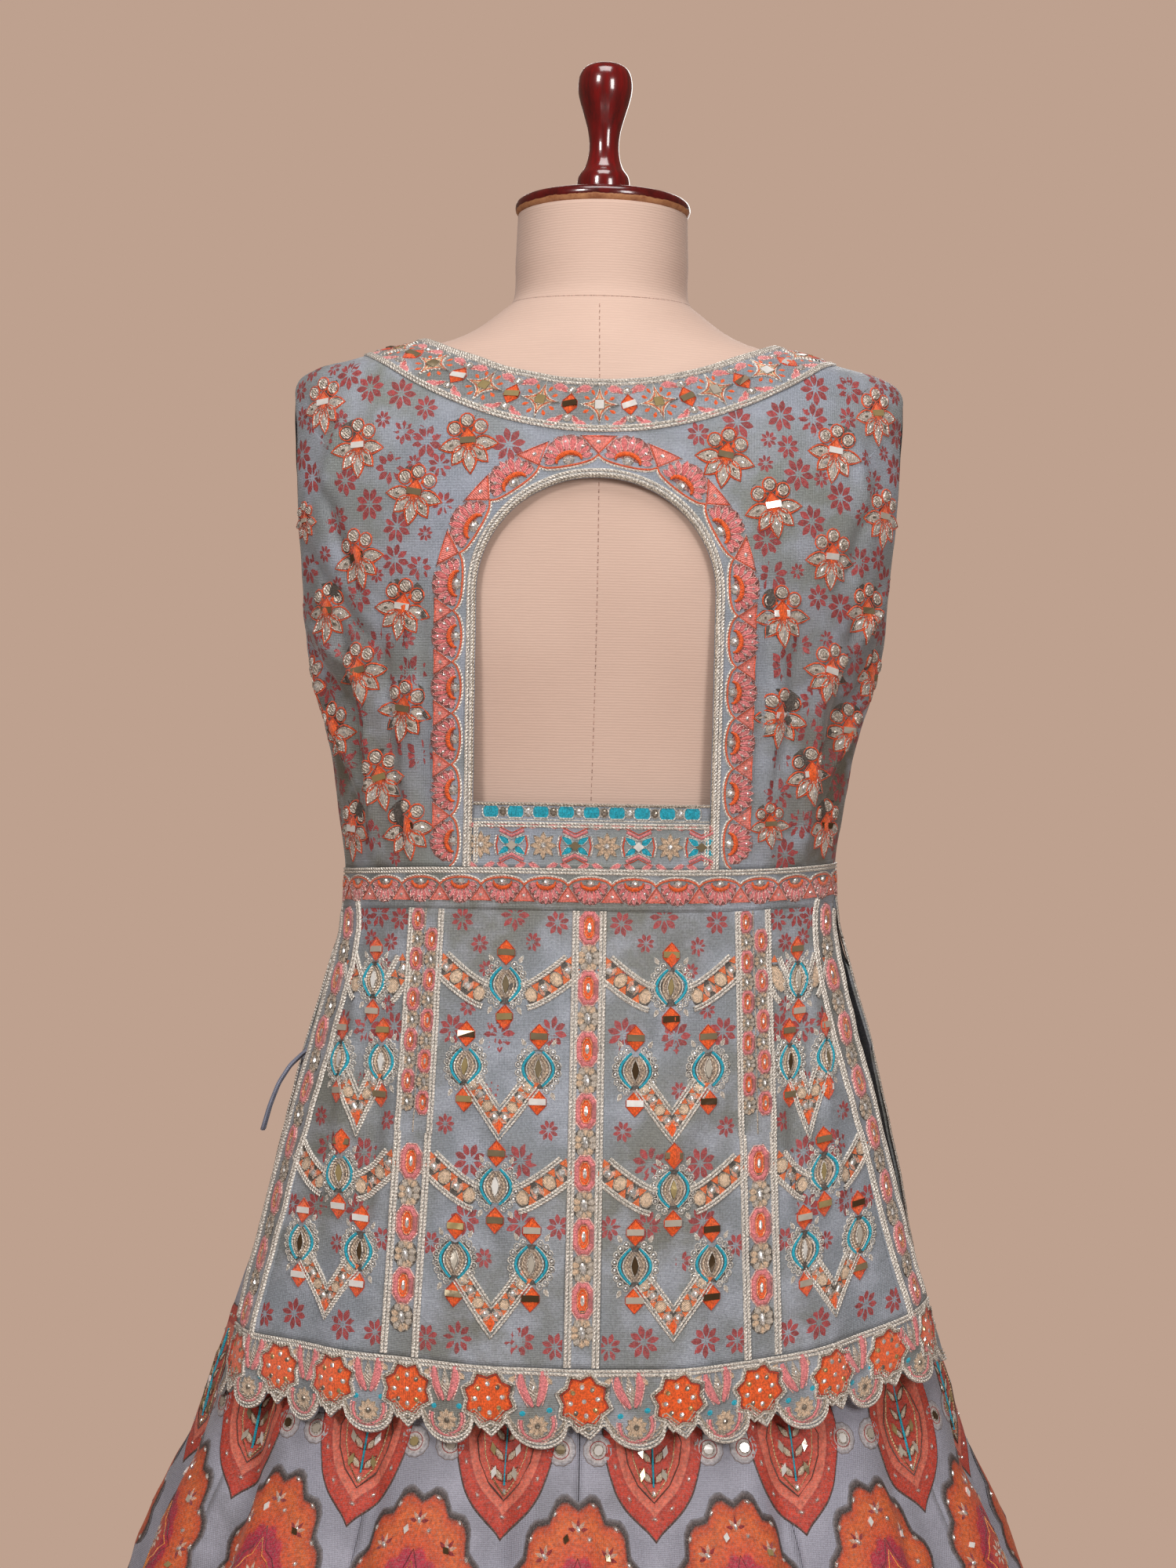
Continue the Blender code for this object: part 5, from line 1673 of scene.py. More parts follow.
def lozenge_medallion(pen, slim):
    """Turquoise arcs about a long mirror, between two mirror diamonds, ringed with looped beads."""
    t = np.linspace(-1, 1, 13)
    reach, tall = 9.0 * slim, 12.0
    bow = np.cos(t * math.pi / 2) ** 0.95
    oval = np.column_stack([bow[1:-1], t[1:-1]])
    both = np.concatenate([oval, oval[::-1] * (-1, 1)])
    # Painted shadow: a dark sheet under the medallion, for the shade round the raised work
    pen.fill(both * (reach * 1.5, tall * 1.12), 0.12, PAINTED_SHADOW, PRINT, rings=2)
    pen.fill(both * (reach * 0.80, tall * 0.9), 0.5, linear(158, 142, 128), ZARI, rings=2)
    for side in (-1, 1):
        path = np.column_stack([side * bow * reach, t * tall])[1:-1]
        pen.line(path, 1.7, 1.3, TURQUOISE, THREAD)
        pen.line(path * (1.17, 1.05), 0.8, 1.0, SILVER)
        pen.line(path * (0.78, 0.88), 0.9, 1.2, SILVER)
        pen.line(path * (0.56, 0.70), 0.8, 1.2, linear(206, 186, 164))
        for k in range(8):
            a = math.radians(-70 + 20 * k)
            x, y = side * (reach + 3.0) * math.cos(a) ** 0.8, (tall + 0.8) * math.sin(a)
            pen.loop(ring(x, y, 1.8, 1.8, 7), 0.7, 0.9, SILVER)
            pen.bead(x, y, 1.1)
        for up in (-1, 1):
            lean = -side * up * 0.5 + (up < 0) * math.pi
            pen.petal(side * (reach * 0.62 + 2.4), up * (tall + 1.2), lean, 4.8, 2.4, FILIGREE, SILVER)
    inner = np.array([
        (2.4 * slim, 0), (1.4 * slim, 3.8), (0, 6.4), (-1.4 * slim, 3.8),
        (-2.4 * slim, 0), (-1.4 * slim, -3.8), (0, -6.4), (1.4 * slim, -3.8),
    ])
    pen.loop(inner, 0.8, 1.4, SILVER)
    pen.glass(inner * 0.84, 1.5)
    for up in (1, -1):
        mirror_diamond(pen.moved(0, up * (tall + 6.8)), 10.4 * (0.5 + 0.5 * slim), 14.6)


def band_cell(here, reach, half, number):
    """A cell of a filled band: a beige oval or a stone, with orange in its corners."""
    # Painted shadow: a dark sheet under the cell, for the shade round the raised work
    here.fill(ring(0, 0, reach * 1.05, half + 0.4, 8), 0.1, PAINTED_SHADOW, PRINT, rings=1)
    if number % 2 == 0:
        here.fill(ring(0, 0, reach * 0.84, half - 1.6, 9), 0.9, BEIGE, inner=linear(222, 196, 170))
        here.loop(ring(0, 0, reach * 0.84, half - 1.6, 9), 0.6, 0.9, DULL_SILVER)
    else:
        here.stone(0, 0, reach * 0.72, 2.2)
        for side in (-1, 1):
            foot = (side * reach * 0.5, -half + 1.4)
            here.petal(*foot, 0, half * 1.3, 2.6, linear(226, 160, 136), DULL_SILVER)
    for up in (1, -1):
        corner = [(reach - 2.6, up * (half - 1.0)), (reach + 2.6, up * (half - 1.0)), (reach, up * 0.2)]
        here.fill(corner, 0.8, linear(222, 112, 62))


def filled_band(pen, middle, half, cells):
    """A band between two pairs of cords, its cells beige ovals and stones in turn."""
    middle = np.asarray(middle, float)
    normal = normals(middle)
    for side in (-1, 1):
        pen.pair(middle + normal * side * (half - 0.4), 1.6, 1.1)
    steps = run_along(middle)
    for k in range(cells):
        spot = (k + 0.5) / cells * steps[-1]
        nx, ny = on_path(spot, steps, normal)
        here = pen.moved(*on_path(spot, steps, middle), math.atan2(-nx, ny))
        band_cell(here, steps[-1] / cells / 2, half - 1.2, k)


def swag(pen, half):
    """A medallion hung between two curved arms that rise to the panel's edges."""
    slim = min(1.0, half / 26)
    start = 9.0 * slim + 2.6
    for side in (-1, 1):
        t = np.linspace(0, 1, 9)
        middle = np.column_stack([side * (start + (half - start + 0.5) * t), -7.0 + 19.0 * t**1.35])
        filled_band(pen, middle, 7.2, max(1, round((half - start) / 7.0)))
    lozenge_medallion(pen, slim)


def chevron(pen, half):
    """Two medallions with a filled V between them."""
    apart = half * 0.54
    slim = min(1.0, apart / 17)
    top, foot, thick = -8.0, -32.0, 5.8
    run = apart - 4.0
    angle = math.atan2(top - foot, run)
    for offset in (-thick, -thick + 1.75, thick - 1.75, thick):
        across = offset * math.sin(angle), offset * math.cos(angle)
        right = np.array([(0, foot + offset / math.cos(angle)), (run - across[0], top + across[1])])
        right = np.linspace(right[0], right[1], 6)
        path = np.concatenate([right[::-1] * (-1, 1), right[1:]])
        pen.line(path, 1.4, 0.9, SILVER)
    length = math.hypot(run, top - foot)
    cells = max(2, round(length / 8.5))
    for side in (-1, 1):
        for k in range(cells):
            share = (k + 0.62) / cells
            here = pen.moved(side * run * share, foot + (top - foot) * share, side * angle)
            band_cell(here, length / cells / 2, thick - 0.8, k + 1)
        lozenge_medallion(pen.moved(side * apart, 0), slim)
    pen.fill([(0, foot + 4.5), (-2.6, foot - 1), (0, foot - 7.0), (2.6, foot - 1)], 0.8, ORANGE)


def eight_point_star(pen):
    """An orange star set with nine stones, in three outlines."""
    reach = 14.2
    angle = round_steps(32) + math.pi / 8
    steps = np.array([1.0, 0.885, 0.80, 0.885])[np.arange(32) % 4]
    star = np.column_stack([np.cos(angle), np.sin(angle)]) * steps[:, None] * reach
    # Painted shadow: a dark sheet round the star, for the shade round the raised work
    pen.fill(star * 1.30, 0.12, PAINTED_SHADOW, PRINT, rings=2)
    pen.fill(star, 0.9, ORANGE, rings=3)
    pen.loop(star * 1.02, 1.0, 1.2, linear(196, 66, 40), THREAD)
    pen.loop(star * 1.12, 1.4, 1.3, DULL_SILVER)
    pen.loop(star * 1.23, 1.5, 1.3, SILVER)
    for k in range(8):
        a = k * math.pi / 4
        tint = (CRYSTAL, SMOKY, CRYSTAL, GOLD)[(k * 3 + int(reach)) % 4]
        pen.stone(8.0 * math.cos(a), 8.0 * math.sin(a), 2.5, tint=tint, setting=GOLD)
    pen.stone(0, 0, 2.8, setting=GOLD)


def tulip(pen):
    """Two pink petals round a silver leaf; below, a beige flower in a pink crescent."""
    t = np.linspace(0, 1, 9)
    for side in (-1, 1):
        path = np.column_stack([side * (1.4 + 5.2 * np.sin(t * math.pi * 0.60)), 1.5 + 19.0 * t])
        pen.line(path, 5.4 * np.sin(0.30 + t * 2.45), 1.3, PINK, THREAD)
        pen.line(path + (side * 2.8, 0.2), 0.8, 1.0, PALE_PINK)
        pen.line(path - (side * 2.5, 0), 0.8, 1.0, DULL_SILVER)
        pen.fill(ring(side * 8.0, -1.4, 1.9, 1.6, 7), 0.9, TURQUOISE)
    pen.fill(leaf(15.0, 5.6, 6) + (0, 5.0), 1.1, FILIGREE, ZARI)
    pen.stone(0, 12.0, 1.5, 3.0)
    for k in range(9):
        pen.petal(0, -9.4, k * math.pi / 4.5, 6.6, 3.8, BEIGE, DULL_SILVER, 0.8, blunt=1.0)
    pen.stone(0, -9.4, 2.5, tint=SMOKY)
    arc = np.linspace(math.radians(-200), math.radians(20), 17)
    crescents = ((9.6, 1.9, PINK, THREAD), (11.3, 0.9, PALE_PINK, ZARI), (8.1, 0.8, DULL_SILVER, ZARI))
    for reach, width, tint, finish in crescents:
        path = np.column_stack([reach * np.cos(arc), -8.0 + (reach - 0.4) * np.sin(arc)])
        pen.line(path, width, 1.0, tint, finish)


def yoke_work():
    """A row of turquoise blocks and stones over a band of small flowers, between cords."""
    work = Work("yoke_band_work", TOP_BACK, 0.0)
    half = float(TOP_BACK.s_at_x([ARCH_HALF - 0.0008], [ARCH_SILL - 0.01])[0]) * 1000
    foot = (WAIST_SEAM + 0.0025) * 1000
    pen = Pen(work, straight(0, 0))
    top = ARCH_SILL * 1000

    def row(z):
        return np.column_stack([np.linspace(-half, half, 50), np.full(50, z)])

    pen.pair(row(top - 13.2), 1.6, 0.9)
    pen.line(row(top - 0.8), 1.5, 1.2, DULL_SILVER)
    pen.line(row(top - 10.2), 0.8, 0.7, SILVER)
    for side in (-1, 1):
        edge = np.column_stack([np.full(16, side * (half - 1.6)), np.linspace(foot, top - 12, 16)])
        pen.pair(edge, 1.5, 0.8)
    pitch = 2 * half / 9.4
    block = np.array([
        (4.6, 1.6), (3.4, 3.3), (-3.4, 3.3), (-4.6, 1.6),
        (-4.6, -1.6), (-3.4, -3.3), (3.4, -3.3), (4.6, -1.6),
    ])
    for k in range(-4, 5):
        x = k * pitch
        here = pen.moved(x, top - 5.4)
        here.fill(block, 1.0, TURQUOISE)
        here.loop(block * 1.14, 0.8, 0.9, SILVER)
        if k < 4:
            pen.stone(x + pitch / 2, top - 5.4, 2.5, 3.0, tint=CRYSTAL if k % 2 else SMOKY)
    for k in range(56):
        pen.bead(-half + (k + 0.5) * half / 28, top - 0.4, 0.9, SILVER)
    middle = (foot + top - 14.6) / 2
    for k in range(-3, 5):
        here = pen.moved((k - 0.5) * half / 3.75, middle)
        for up in (1, -1):
            for side in (-1, 1):
                lean = side * up * 1.25 + (up < 0) * math.pi
                here.petal(side * 9.0, up * 10.8, lean, 7.5, 3.0, PINK, PALE_PINK)
        if k % 2 == 0:
            for corner in range(4):
                a = math.radians((56, 124, 236, 304)[corner])
                here.petal(1.8 * -math.sin(a), 1.8 * math.cos(a), a, 8.6, 4.2, TURQUOISE, SILVER, 0.9)
            here.glass([(3.4, 0), (0, 3.0), (-3.4, 0), (0, -3.0)], 1.2)
            for up in (1, -1):
                arm = np.array([(-7.4, up * 9.0), (0, up * 5.4), (7.4, up * 9.0)])
                here.line(arm, 2.0, 0.9, PINK, THREAD)
                here.line(arm + (0, up * 1.9), 0.7, 0.8, DEEP_ORANGE, THREAD)
                here.line(arm - (0, up * 1.7), 0.7, 0.8, SILVER)
        else:
            for petal in range(8):
                here.petal(0, 0, petal * math.pi / 4, 8.4, 4.4, BEIGE, DULL_SILVER, 0.9)
            here.stone(0, 0, 2.4)
            for side in (-1, 1):
                curl = np.array([(side * 9.6, -6.0), (side * 8.4, 0), (side * 9.6, 6.0)])
                here.line(curl, 0.9, 0.9, SILVER)
                here.line(curl + (side * 1.3, 0), 0.9, 0.9, DEEP_ORANGE, THREAD)
    return work


def arch_track():
    turn, z = arch(0)
    return Track(TOP_BACK.s_at(turn, z)[::-1], z[::-1])


def arch_work():
    work = Work("arch_cord_work", TOP_BACK, 0.0)
    track = arch_track()
    pen = Pen(work, track.where)
    pen.pair(along(track.length, 3.4, 2.0), 2.1, 1.1)
    pen.line(along(track.length, 0.7, 2.0), 1.2, 0.7, DULL_SILVER)
    return work


FORM_BACK = Ground(form_skin, False, PAST_SIDE, 1.060, 1.472)
FORM_FRONT = Ground(form_skin, True, PAST_SIDE, 1.060, 1.472)


def form_seams(half):
    """Stitches along the torso's middle seam and round the foot of its neck."""
    ground = FORM_BACK if half == "back" else FORM_FRONT
    work = Work(f"form_seams_{half}", ground, 0.0)
    low = 1.095 if half == "back" else 1.300
    pen = Pen(work, straight(0, 0))
    thread, groove = linear(186, 150, 134), linear(176, 142, 126)
    for z in np.arange(low, 1.409, 0.0042):
        sway = 2.0 * math.sin((1.41 - z) * 9.0) - 1.2
        pen.line([(sway, z * 1000), (sway + 0.1, z * 1000 + 2.2)], 0.7, 0.30, thread, THREAD)
    edge = np.interp(1.412, ground.heights, ground.run[:, -1]) * 1000 * 0.96
    x = np.linspace(-edge, edge, 64)
    drop = 1.4185 - 0.0050 * np.cos(x / edge * math.pi / 2)
    pen.line(np.column_stack([x, drop * 1000]), 0.6, 0.12, groove, THREAD)
    for k in range(63):
        a, b = (x[k] * 0.6 + x[k + 1] * 0.4, x[k] * 0.1 + x[k + 1] * 0.9)
        pen.line([(a, drop[k] * 1000), (b, drop[k + 1] * 1000)], 0.7, 0.30, thread, THREAD)
    return work


def arch_border_work():
    work = Work("arch_border_work", TOP_BACK, 0.0)
    fan_border(work, arch_track(), 18, base=7.2, size=1.0, edge=False)
    return work


def waist_track(half, z):
    """The waist line from right to left, so that y runs down."""
    ground = top_ground(half)
    edge_left = -ground.s_at_x([side_edge(z, panel_place(half, "left"))], [z])[0]
    edge_right = ground.s_at_x([side_edge(z, panel_place(half, "right"))], [z])[0]
    return Track(np.linspace(edge_right, edge_left, 160), np.full(160, z))


def waist_work(half):
    work = Work(f"waist_band_{half}_work", top_ground(half), 0.0003)
    track = waist_track(half, WAIST_SEAM - 0.0002)
    pen = Pen(work, track.where)
    pen.pair(along(track.length, 1.7, 2.5), 1.7, 0.9)
    fan_border(work, track, 15, base=4.6, size=0.84)
    return work


def half_panel(half, side, z, first, last):
    """The middle of a panel and half its width, laid flat, in metres, at height z."""
    lines = seam_x(np.array([z]), panel_place(half, side))
    ground = top_ground(half)
    a, b = (ground.s_at_x(lines[name], [z])[0] for name in (first, last))
    return SIDES[side] * (a + b) / 2, (b - a) / 2


SWAG_ROWS = (0.993, 0.877)
CHEVRON_ROWS = (0.9445, 0.8345)
PANELS = (("centre", "princess_in"), ("princess_out", "side_in"))


def panel_work(half):
    """Two swags and two chevrons on each of the peplum's panels."""
    work = Work(f"peplum_{half}_work", top_ground(half), 0.0)
    for side in SIDES:
        for first, last in PANELS:
            for motif, rows in ((swag, SWAG_ROWS), (chevron, CHEVRON_ROWS)):
                for z in rows:
                    s, reach = half_panel(half, side, z, first, last)
                    motif(Pen(work, straight(s, z)), reach * 1000)
    return work


Spot = namedtuple("Spot", "share z radius")
PANEL_PRINT = [Spot(*row) for row in (
    (-0.10, 1.0340, 8.6), (-0.75, 1.0300, 7.0), (0.72, 1.0310, 7.0), (-0.38, 1.0185, 5.4),
    (0.42, 1.0165, 5.4), (-0.80, 0.9985, 5.4), (0.30, 1.0020, 4.6), (0.55, 0.9790, 5.0),
    (-0.72, 0.9660, 8.8), (0.06, 0.9640, 9.4), (0.78, 0.9660, 8.4), (0.10, 0.9330, 5.0),
    (-0.72, 0.9100, 5.6), (0.80, 0.9110, 5.6), (-0.34, 0.8920, 9.4), (0.40, 0.8910, 9.2),
    (-0.38, 0.8570, 8.4), (0.42, 0.8580, 8.6), (-0.90, 0.8560, 6.6), (0.92, 0.8430, 6.4),
    (0.12, 0.8370, 5.4), (-0.42, 0.7930, 8.6), (0.44, 0.7920, 8.6), (-0.95, 0.7900, 7.2),
    (0.95, 0.7900, 7.2),
)]


def panel_print(half):
    """Printed flowers between the peplum's embroidered motifs."""
    work = Work(f"peplum_{half}_print", top_ground(half), 0.0)
    for side in SIDES:
        for n, (first, last) in enumerate(PANELS):
            for k, spot in enumerate(PANEL_PRINT):
                s, reach = half_panel(half, side, spot.z, first, last)
                share = spot.share * (-1 if (n + (side == "left")) % 2 else 1)
                limit = reach - spot.radius / 1000 * 0.6
                at = s + max(-limit, min(limit, share * reach))
                pen = Pen(work, straight(at, spot.z)).moved(angle=0.4 * math.sin(7.0 * k + n))
                printed_flower(pen, spot.radius * 1.12)
    return work


def inside(places, turn, z):
    """Whether a place lies inside a closed row of places."""
    x, y = places
    following_x, following_y = np.roll(x, -1), np.roll(y, -1)
    crosses = (y > z) != (following_y > z)
    with np.errstate(divide="ignore", invalid="ignore"):
        at = x + (z - y) / (following_y - y) * (following_x - x)
    return int(np.sum(crosses & (turn < at))) % 2 == 1


def bodice_region(half):
    """The outline of the bodice's plain cloth, laid flat, and the arch's outer edge."""
    ground = top_ground(half)
    outline = bodice_outline(half)
    flat = (ground.s_at(*outline), outline[1])
    if half == "front":
        return flat, None
    hole = arch(0.0260)
    return flat, (ground.s_at(*hole), hole[1])


def clear_of(region, hole, s, z, margin):
    """Whether a spot lies in the region and at least a margin from its edges."""
    for angle in round_steps(8):
        ds, dz = margin * math.cos(angle), margin * math.sin(angle)
        if not inside(region, s + ds, z + dz):
            return False
        if hole is not None and inside(hole, s + ds, z + dz):
            return False
    return True


Bloom = namedtuple("Bloom", "s z")
BACK_BLOOMS = [Bloom(*row) for row in (
    (-181, 1347), (-152, 1318), (-79, 1319), (-112, 1288), (-198, 1274), (-151, 1250), (-177, 1218),
    (-119, 1219), (-150, 1181), (-203, 1174), (-118, 1158), (-177, 1146), (-136, 1117),
    (-164, 1087), (-116, 1087), (183, 1347), (149, 1320), (77, 1313), (107, 1284), (192, 1283),
    (148, 1255), (115, 1219), (180, 1224), (150, 1186), (117, 1157), (172, 1149), (140, 1121),
    (112, 1090), (160, 1087), (196, 1184),
)]
FRONT_BLOOMS = [Bloom(*row) for row in (
    (-176, 1344), (-146, 1318), (-176, 1290), (-112, 1296), (-148, 1258), (-90, 1252), (-190, 1228),
    (-122, 1218), (-60, 1216), (-20, 1230), (-158, 1184), (-92, 1178), (-28, 1182), (-196, 1160),
    (-126, 1144), (-62, 1140), (-160, 1112), (-96, 1102), (-28, 1100), (-190, 1090), (178, 1342),
    (148, 1314), (180, 1288), (114, 1292), (150, 1254), (92, 1248), (192, 1224), (124, 1214),
    (62, 1212), (22, 1148), (160, 1180), (94, 1174), (30, 1190), (198, 1156), (128, 1140),
    (62, 1136), (162, 1108), (98, 1098), (32, 1100), (192, 1088),
)]


def bodice_flowers(half):
    """Embroidered flowers placed one by one, with printed ones scattered between them."""
    region, hole = bodice_region(half)
    stitched = Work(f"bodice_{half}_work", top_ground(half), 0.0)
    printed = Work(f"bodice_{half}_print", top_ground(half), 0.0)
    rng = np.random.default_rng(21 if half == "back" else 22)
    taken = []
    for bloom in BACK_BLOOMS if half == "back" else FRONT_BLOOMS:
        s, z = bloom.s / 1000, bloom.z / 1000
        size = next((n for n in (1.06, 0.92, 0.8) if clear_of(region, hole, s, z, 0.0135 * n)), None)
        if size is None:
            size = 0.74 if clear_of(region, hole, s, z, 0.008) else None
        if size is not None:
            pen = Pen(stitched, straight(s, z)).moved(angle=rng.uniform(-0.22, 0.22))
            embroidered_flower(pen, size)
            taken.append((s, z, 0.0125 * size))
    for radius, tries in ((10.6, 1200), (8.0, 700), (5.6, 500)):
        for _ in range(tries):
            s, z = rng.uniform(-0.215, 0.215), rng.uniform(1.066, 1.372)
            if not clear_of(region, hole, s, z, 0.00072 * radius):
                continue
            if all(math.hypot(s - a, z - b) > reach + radius * 0.00078 for a, b, reach in taken):
                spot = Pen(printed, straight(s, z)).moved(angle=rng.uniform(0, 0.8))
                printed_flower(spot, radius + rng.uniform(-0.4, 0.4))
                taken.append((s, z, radius * 0.00098))
    return stitched, printed


def line_track(half, side, low_name, high_name, top, foot):
    """A track down the middle of a strip between two of the panel's lines."""
    z = np.linspace(top, foot, 120)
    lines = seam_x(z, panel_place(half, side))
    ground = top_ground(half)
    low = ground.s_at_x(lines[low_name], z)
    high = ground.s_at_x(lines[high_name], z)
    return Track(SIDES[side] * (low + high) / 2, z), (high - low).mean() * 1000


DOUBLED_FOOT = 0.905
STRIP_TOP = WAIST_SEAM - WAIST_BAND_TALL
STRIP_FOOT = BORDER_LINE + 0.0006


def strips_work(half):
    work = Work(f"strips_{half}_work", top_ground(half), 0.0003)
    for side in SIDES:
        track, wide = line_track(half, side, "side_in", "edge", STRIP_TOP, STRIP_FOOT)
        strip_work(work, track, wide)
        track, wide = line_track(half, side, "princess_in", "princess_out", DOUBLED_FOOT, STRIP_FOOT)
        strip_work(work, track, wide, 0.2)
        track, wide = line_track(half, side, "princess_in", "princess_out", STRIP_TOP, DOUBLED_FOOT)
        doubled_strip_work(work, track, wide)
    z = np.linspace(STRIP_TOP, STRIP_FOOT, 120)
    strip_work(work, Track(np.zeros(120), z), 2000 * (CENTRE_STRIP + CENTRE_STRIP_GAIN / 2), 0.0)
    return work


def border_work(half):
    """Stars and tulips in turn along the border, with wavy cords at its scalloped edge."""
    ground = top_ground(half)
    work = Work(f"hem_border_{half}_work", ground, 0.0002)
    pen = Pen(work, straight(0, 0))
    for lift, width in ((0.0010, 1.5), (0.0030, 1.4), (0.0050, 1.3), (0.0072, 1.2)):
        turn, z = border_row(half, 1, 26 * BORDER_PERIODS + 1, lift)
        tint = SILVER if width > 1.35 else DULL_SILVER
        pen.line(np.column_stack([ground.s_at(turn, z), z]) * 1000, width, 1.0, tint)
    turn, z = border_row(half, 0, 240)
    top_line = np.column_stack([ground.s_at(turn, z), z])
    pen.pair((top_line - (0, 0.0018)) * 1000, 1.9, 1.0)
    low_turn, low_z = border_row(half, 1, 2 * BORDER_PERIODS * 8 + 1)
    low_places = ground.s_at(low_turn, low_z)
    for k in range(1, 2 * BORDER_PERIODS):
        share = k / (2 * BORDER_PERIODS)
        s = np.interp(share, np.linspace(0, 1, 240), top_line[:, 0])
        low_s = low_places[k * 8]
        lean = math.atan2(low_s - s, 0.045)
        if k % 2:
            spot = Pen(work, straight(s * 0.5 + low_s * 0.5, 0.7605))
            eight_point_star(spot.moved(angle=lean, scale=0.96))
            continue
        tulip(Pen(work, straight(s * 0.5 + low_s * 0.5, 0.7555)).moved(angle=lean, scale=0.98))
        for side in (-1, 1):
            spot = s + side * (top_line[-1, 0] - top_line[0, 0]) / (4 * BORDER_PERIODS) * 0.9
            leaf_pen = Pen(work, straight(spot, 0.7715)).moved(angle=side * 0.9)
            leaf_pen.petal(0, -3.0, 0, 6.5, 3.2, BEIGE, DULL_SILVER)
    return work


# The skirt's print: shields, medallions and ringed mirrors in fifteen repeats


def skirt_place(ground, column, z):
    """Places for a drawing on one repeat of the skirt, which widens as it falls."""
    half = ground.s_at(np.full(len(ground.heights), math.pi / 2), ground.heights)
    whole = np.interp(z, ground.heights, half)

    def where(p):
        p = np.asarray(p) / 1000
        height = z + p[:, 1]
        pitch = np.interp(height, ground.heights, half) * 2 / SKIRT_REPEATS
        return np.column_stack([column * pitch + p[:, 0] * pitch / (whole * 2 / SKIRT_REPEATS), height])

    return where


def lobed(half, up, down, lobes, bite, steps):
    """An outline of lobes between a pointed top and foot, from the top round to the right."""
    share = np.linspace(0, 1, lobes * steps, endpoint=False)
    angle = share * 2 * math.pi
    tall = np.where(np.cos(angle) > 0, up, down)
    x = half * np.sin(angle)
    y = tall * np.sign(np.cos(angle)) * np.abs(np.cos(angle)) ** 1.12
    swell = 1 - bite * np.abs(np.cos(share * lobes * math.pi)) ** 3
    return np.column_stack([x * swell, y * swell])


def chain_of_leaves(pen, outline, every, tint, size=1.0):
    """Small leaves laid end to end along an outline, some with a mirror."""
    closed = np.concatenate([outline, outline[:1]])
    run = run_along(closed)
    count = max(6, int(run[-1] / every))
    for k in range(count):
        spot = (k + 0.5) / count * run[-1]
        (x, y), (x1, y1) = on_path(spot, run, closed), on_path(spot + 1.0, run, closed)
        angle = math.atan2(y1 - y, x1 - x) - math.pi / 2
        here = pen.moved(x, y, angle)
        here.fill(leaf(every * 0.86, 3.4 * size) - (0, every * 0.43), 0.25, tint, PRINT, rings=1)
        if k % 3 == 1:
            here.stone(0, 0, 1.2 * size, 2.4 * size)


SHIELD_TINTS = [
    (1.05, linear(79, 61, 52)), (1.03, linear(68, 50, 44)), (1.01, linear(180, 48, 33)),
    (0.88, linear(190, 61, 39)), (0.79, linear(171, 57, 44)), (0.77, linear(213, 112, 90)),
    (0.60, linear(204, 88, 68)), (0.40, linear(188, 61, 44)), (0.0, linear(180, 55, 40)),
]
MEDALLION_TINTS = [
    (1.13, linear(121, 118, 125)), (1.09, linear(77, 66, 66)), (1.05, linear(48, 37, 35)),
    (1.00, linear(190, 70, 31)), (0.84, linear(208, 96, 40)), (0.54, linear(204, 77, 39)),
    (0.50, linear(180, 39, 57)), (0.34, linear(164, 33, 66)), (0.24, linear(190, 61, 52)),
    (0.0, linear(204, 88, 44)),
]


def medallion(pen, scale, plain):
    """A pointed, scalloped medallion: orange round a magenta heart, with beige leaves at its rim."""
    pen = pen.moved(scale=scale)
    outline = lobed(41, 58, 58, 12, 0.10, 4 if plain else 6)
    pen.tiers(outline, MEDALLION_TINTS, (0, 0), 9.0 if plain else 5.6)
    chain_of_leaves(pen, outline * 1.02, 13.5 if plain else 7.6, linear(196, 180, 164))
    cross = np.array([
        (9, 9), (4, 12), (0, 22), (-4, 12), (-9, 9), (-12, 4), (-17, 0), (-12, -4),
        (-9, -9), (-4, -12), (0, -22), (4, -12), (9, -9), (12, -4), (17, 0), (12, 4),
    ], float)
    pen.loop(cross * 1.3, 1.0, 1.0, linear(120, 30, 40), THREAD)
    pen.loop(cross, 1.0, 1.0, linear(244, 150, 60), THREAD)
    for k in range(8):
        a = k * math.pi / 4
        foot = (1.6 * -math.sin(a), 1.6 * math.cos(a))
        pen.petal(*foot, a, 8.0, 3.8, linear(206, 176, 156), None, 1.1)
    pen.stone(0, 0, 2.4, 3.0)
    if plain:
        return
    for x, y in ((0, 46), (0, -46), (32, 0), (-32, 0), (22, 30), (-22, 30), (22, -30), (-22, -30)):
        out = math.atan2(-x, y)
        for k in range(-2, 3):
            a = math.radians(40 * k) + out
            tint = linear(206, 162, 140) if k % 2 else linear(150, 50, 50)
            pen.petal(x * 0.94, y * 0.94, a, 8.6, 3.8, tint, None, 1.1)
        pen.stone(x * 0.96, y * 0.96, 1.8, 3.0, out + 0.3)
    for k in range(12):
        a = math.radians(30 * k + 15)
        square = np.array([(2.0, 0), (0, 2.9), (-2.0, 0), (0, -2.9)])
        spot = (29 * math.sin(a), 40 * math.cos(a))
        if k % 2:
            pen.glass(turned(square, a) + spot, 1.4)
        else:
            pen.stone(*spot, 1.7)


SHIELD_EDGE = [
    (0, 0), (4, 5), (9.7, 10), (17.0, 17), (23.4, 26), (27.6, 37), (31.0, 48), (32.5, 60),
    (30, 74), (22, 88), (10, 97),
]


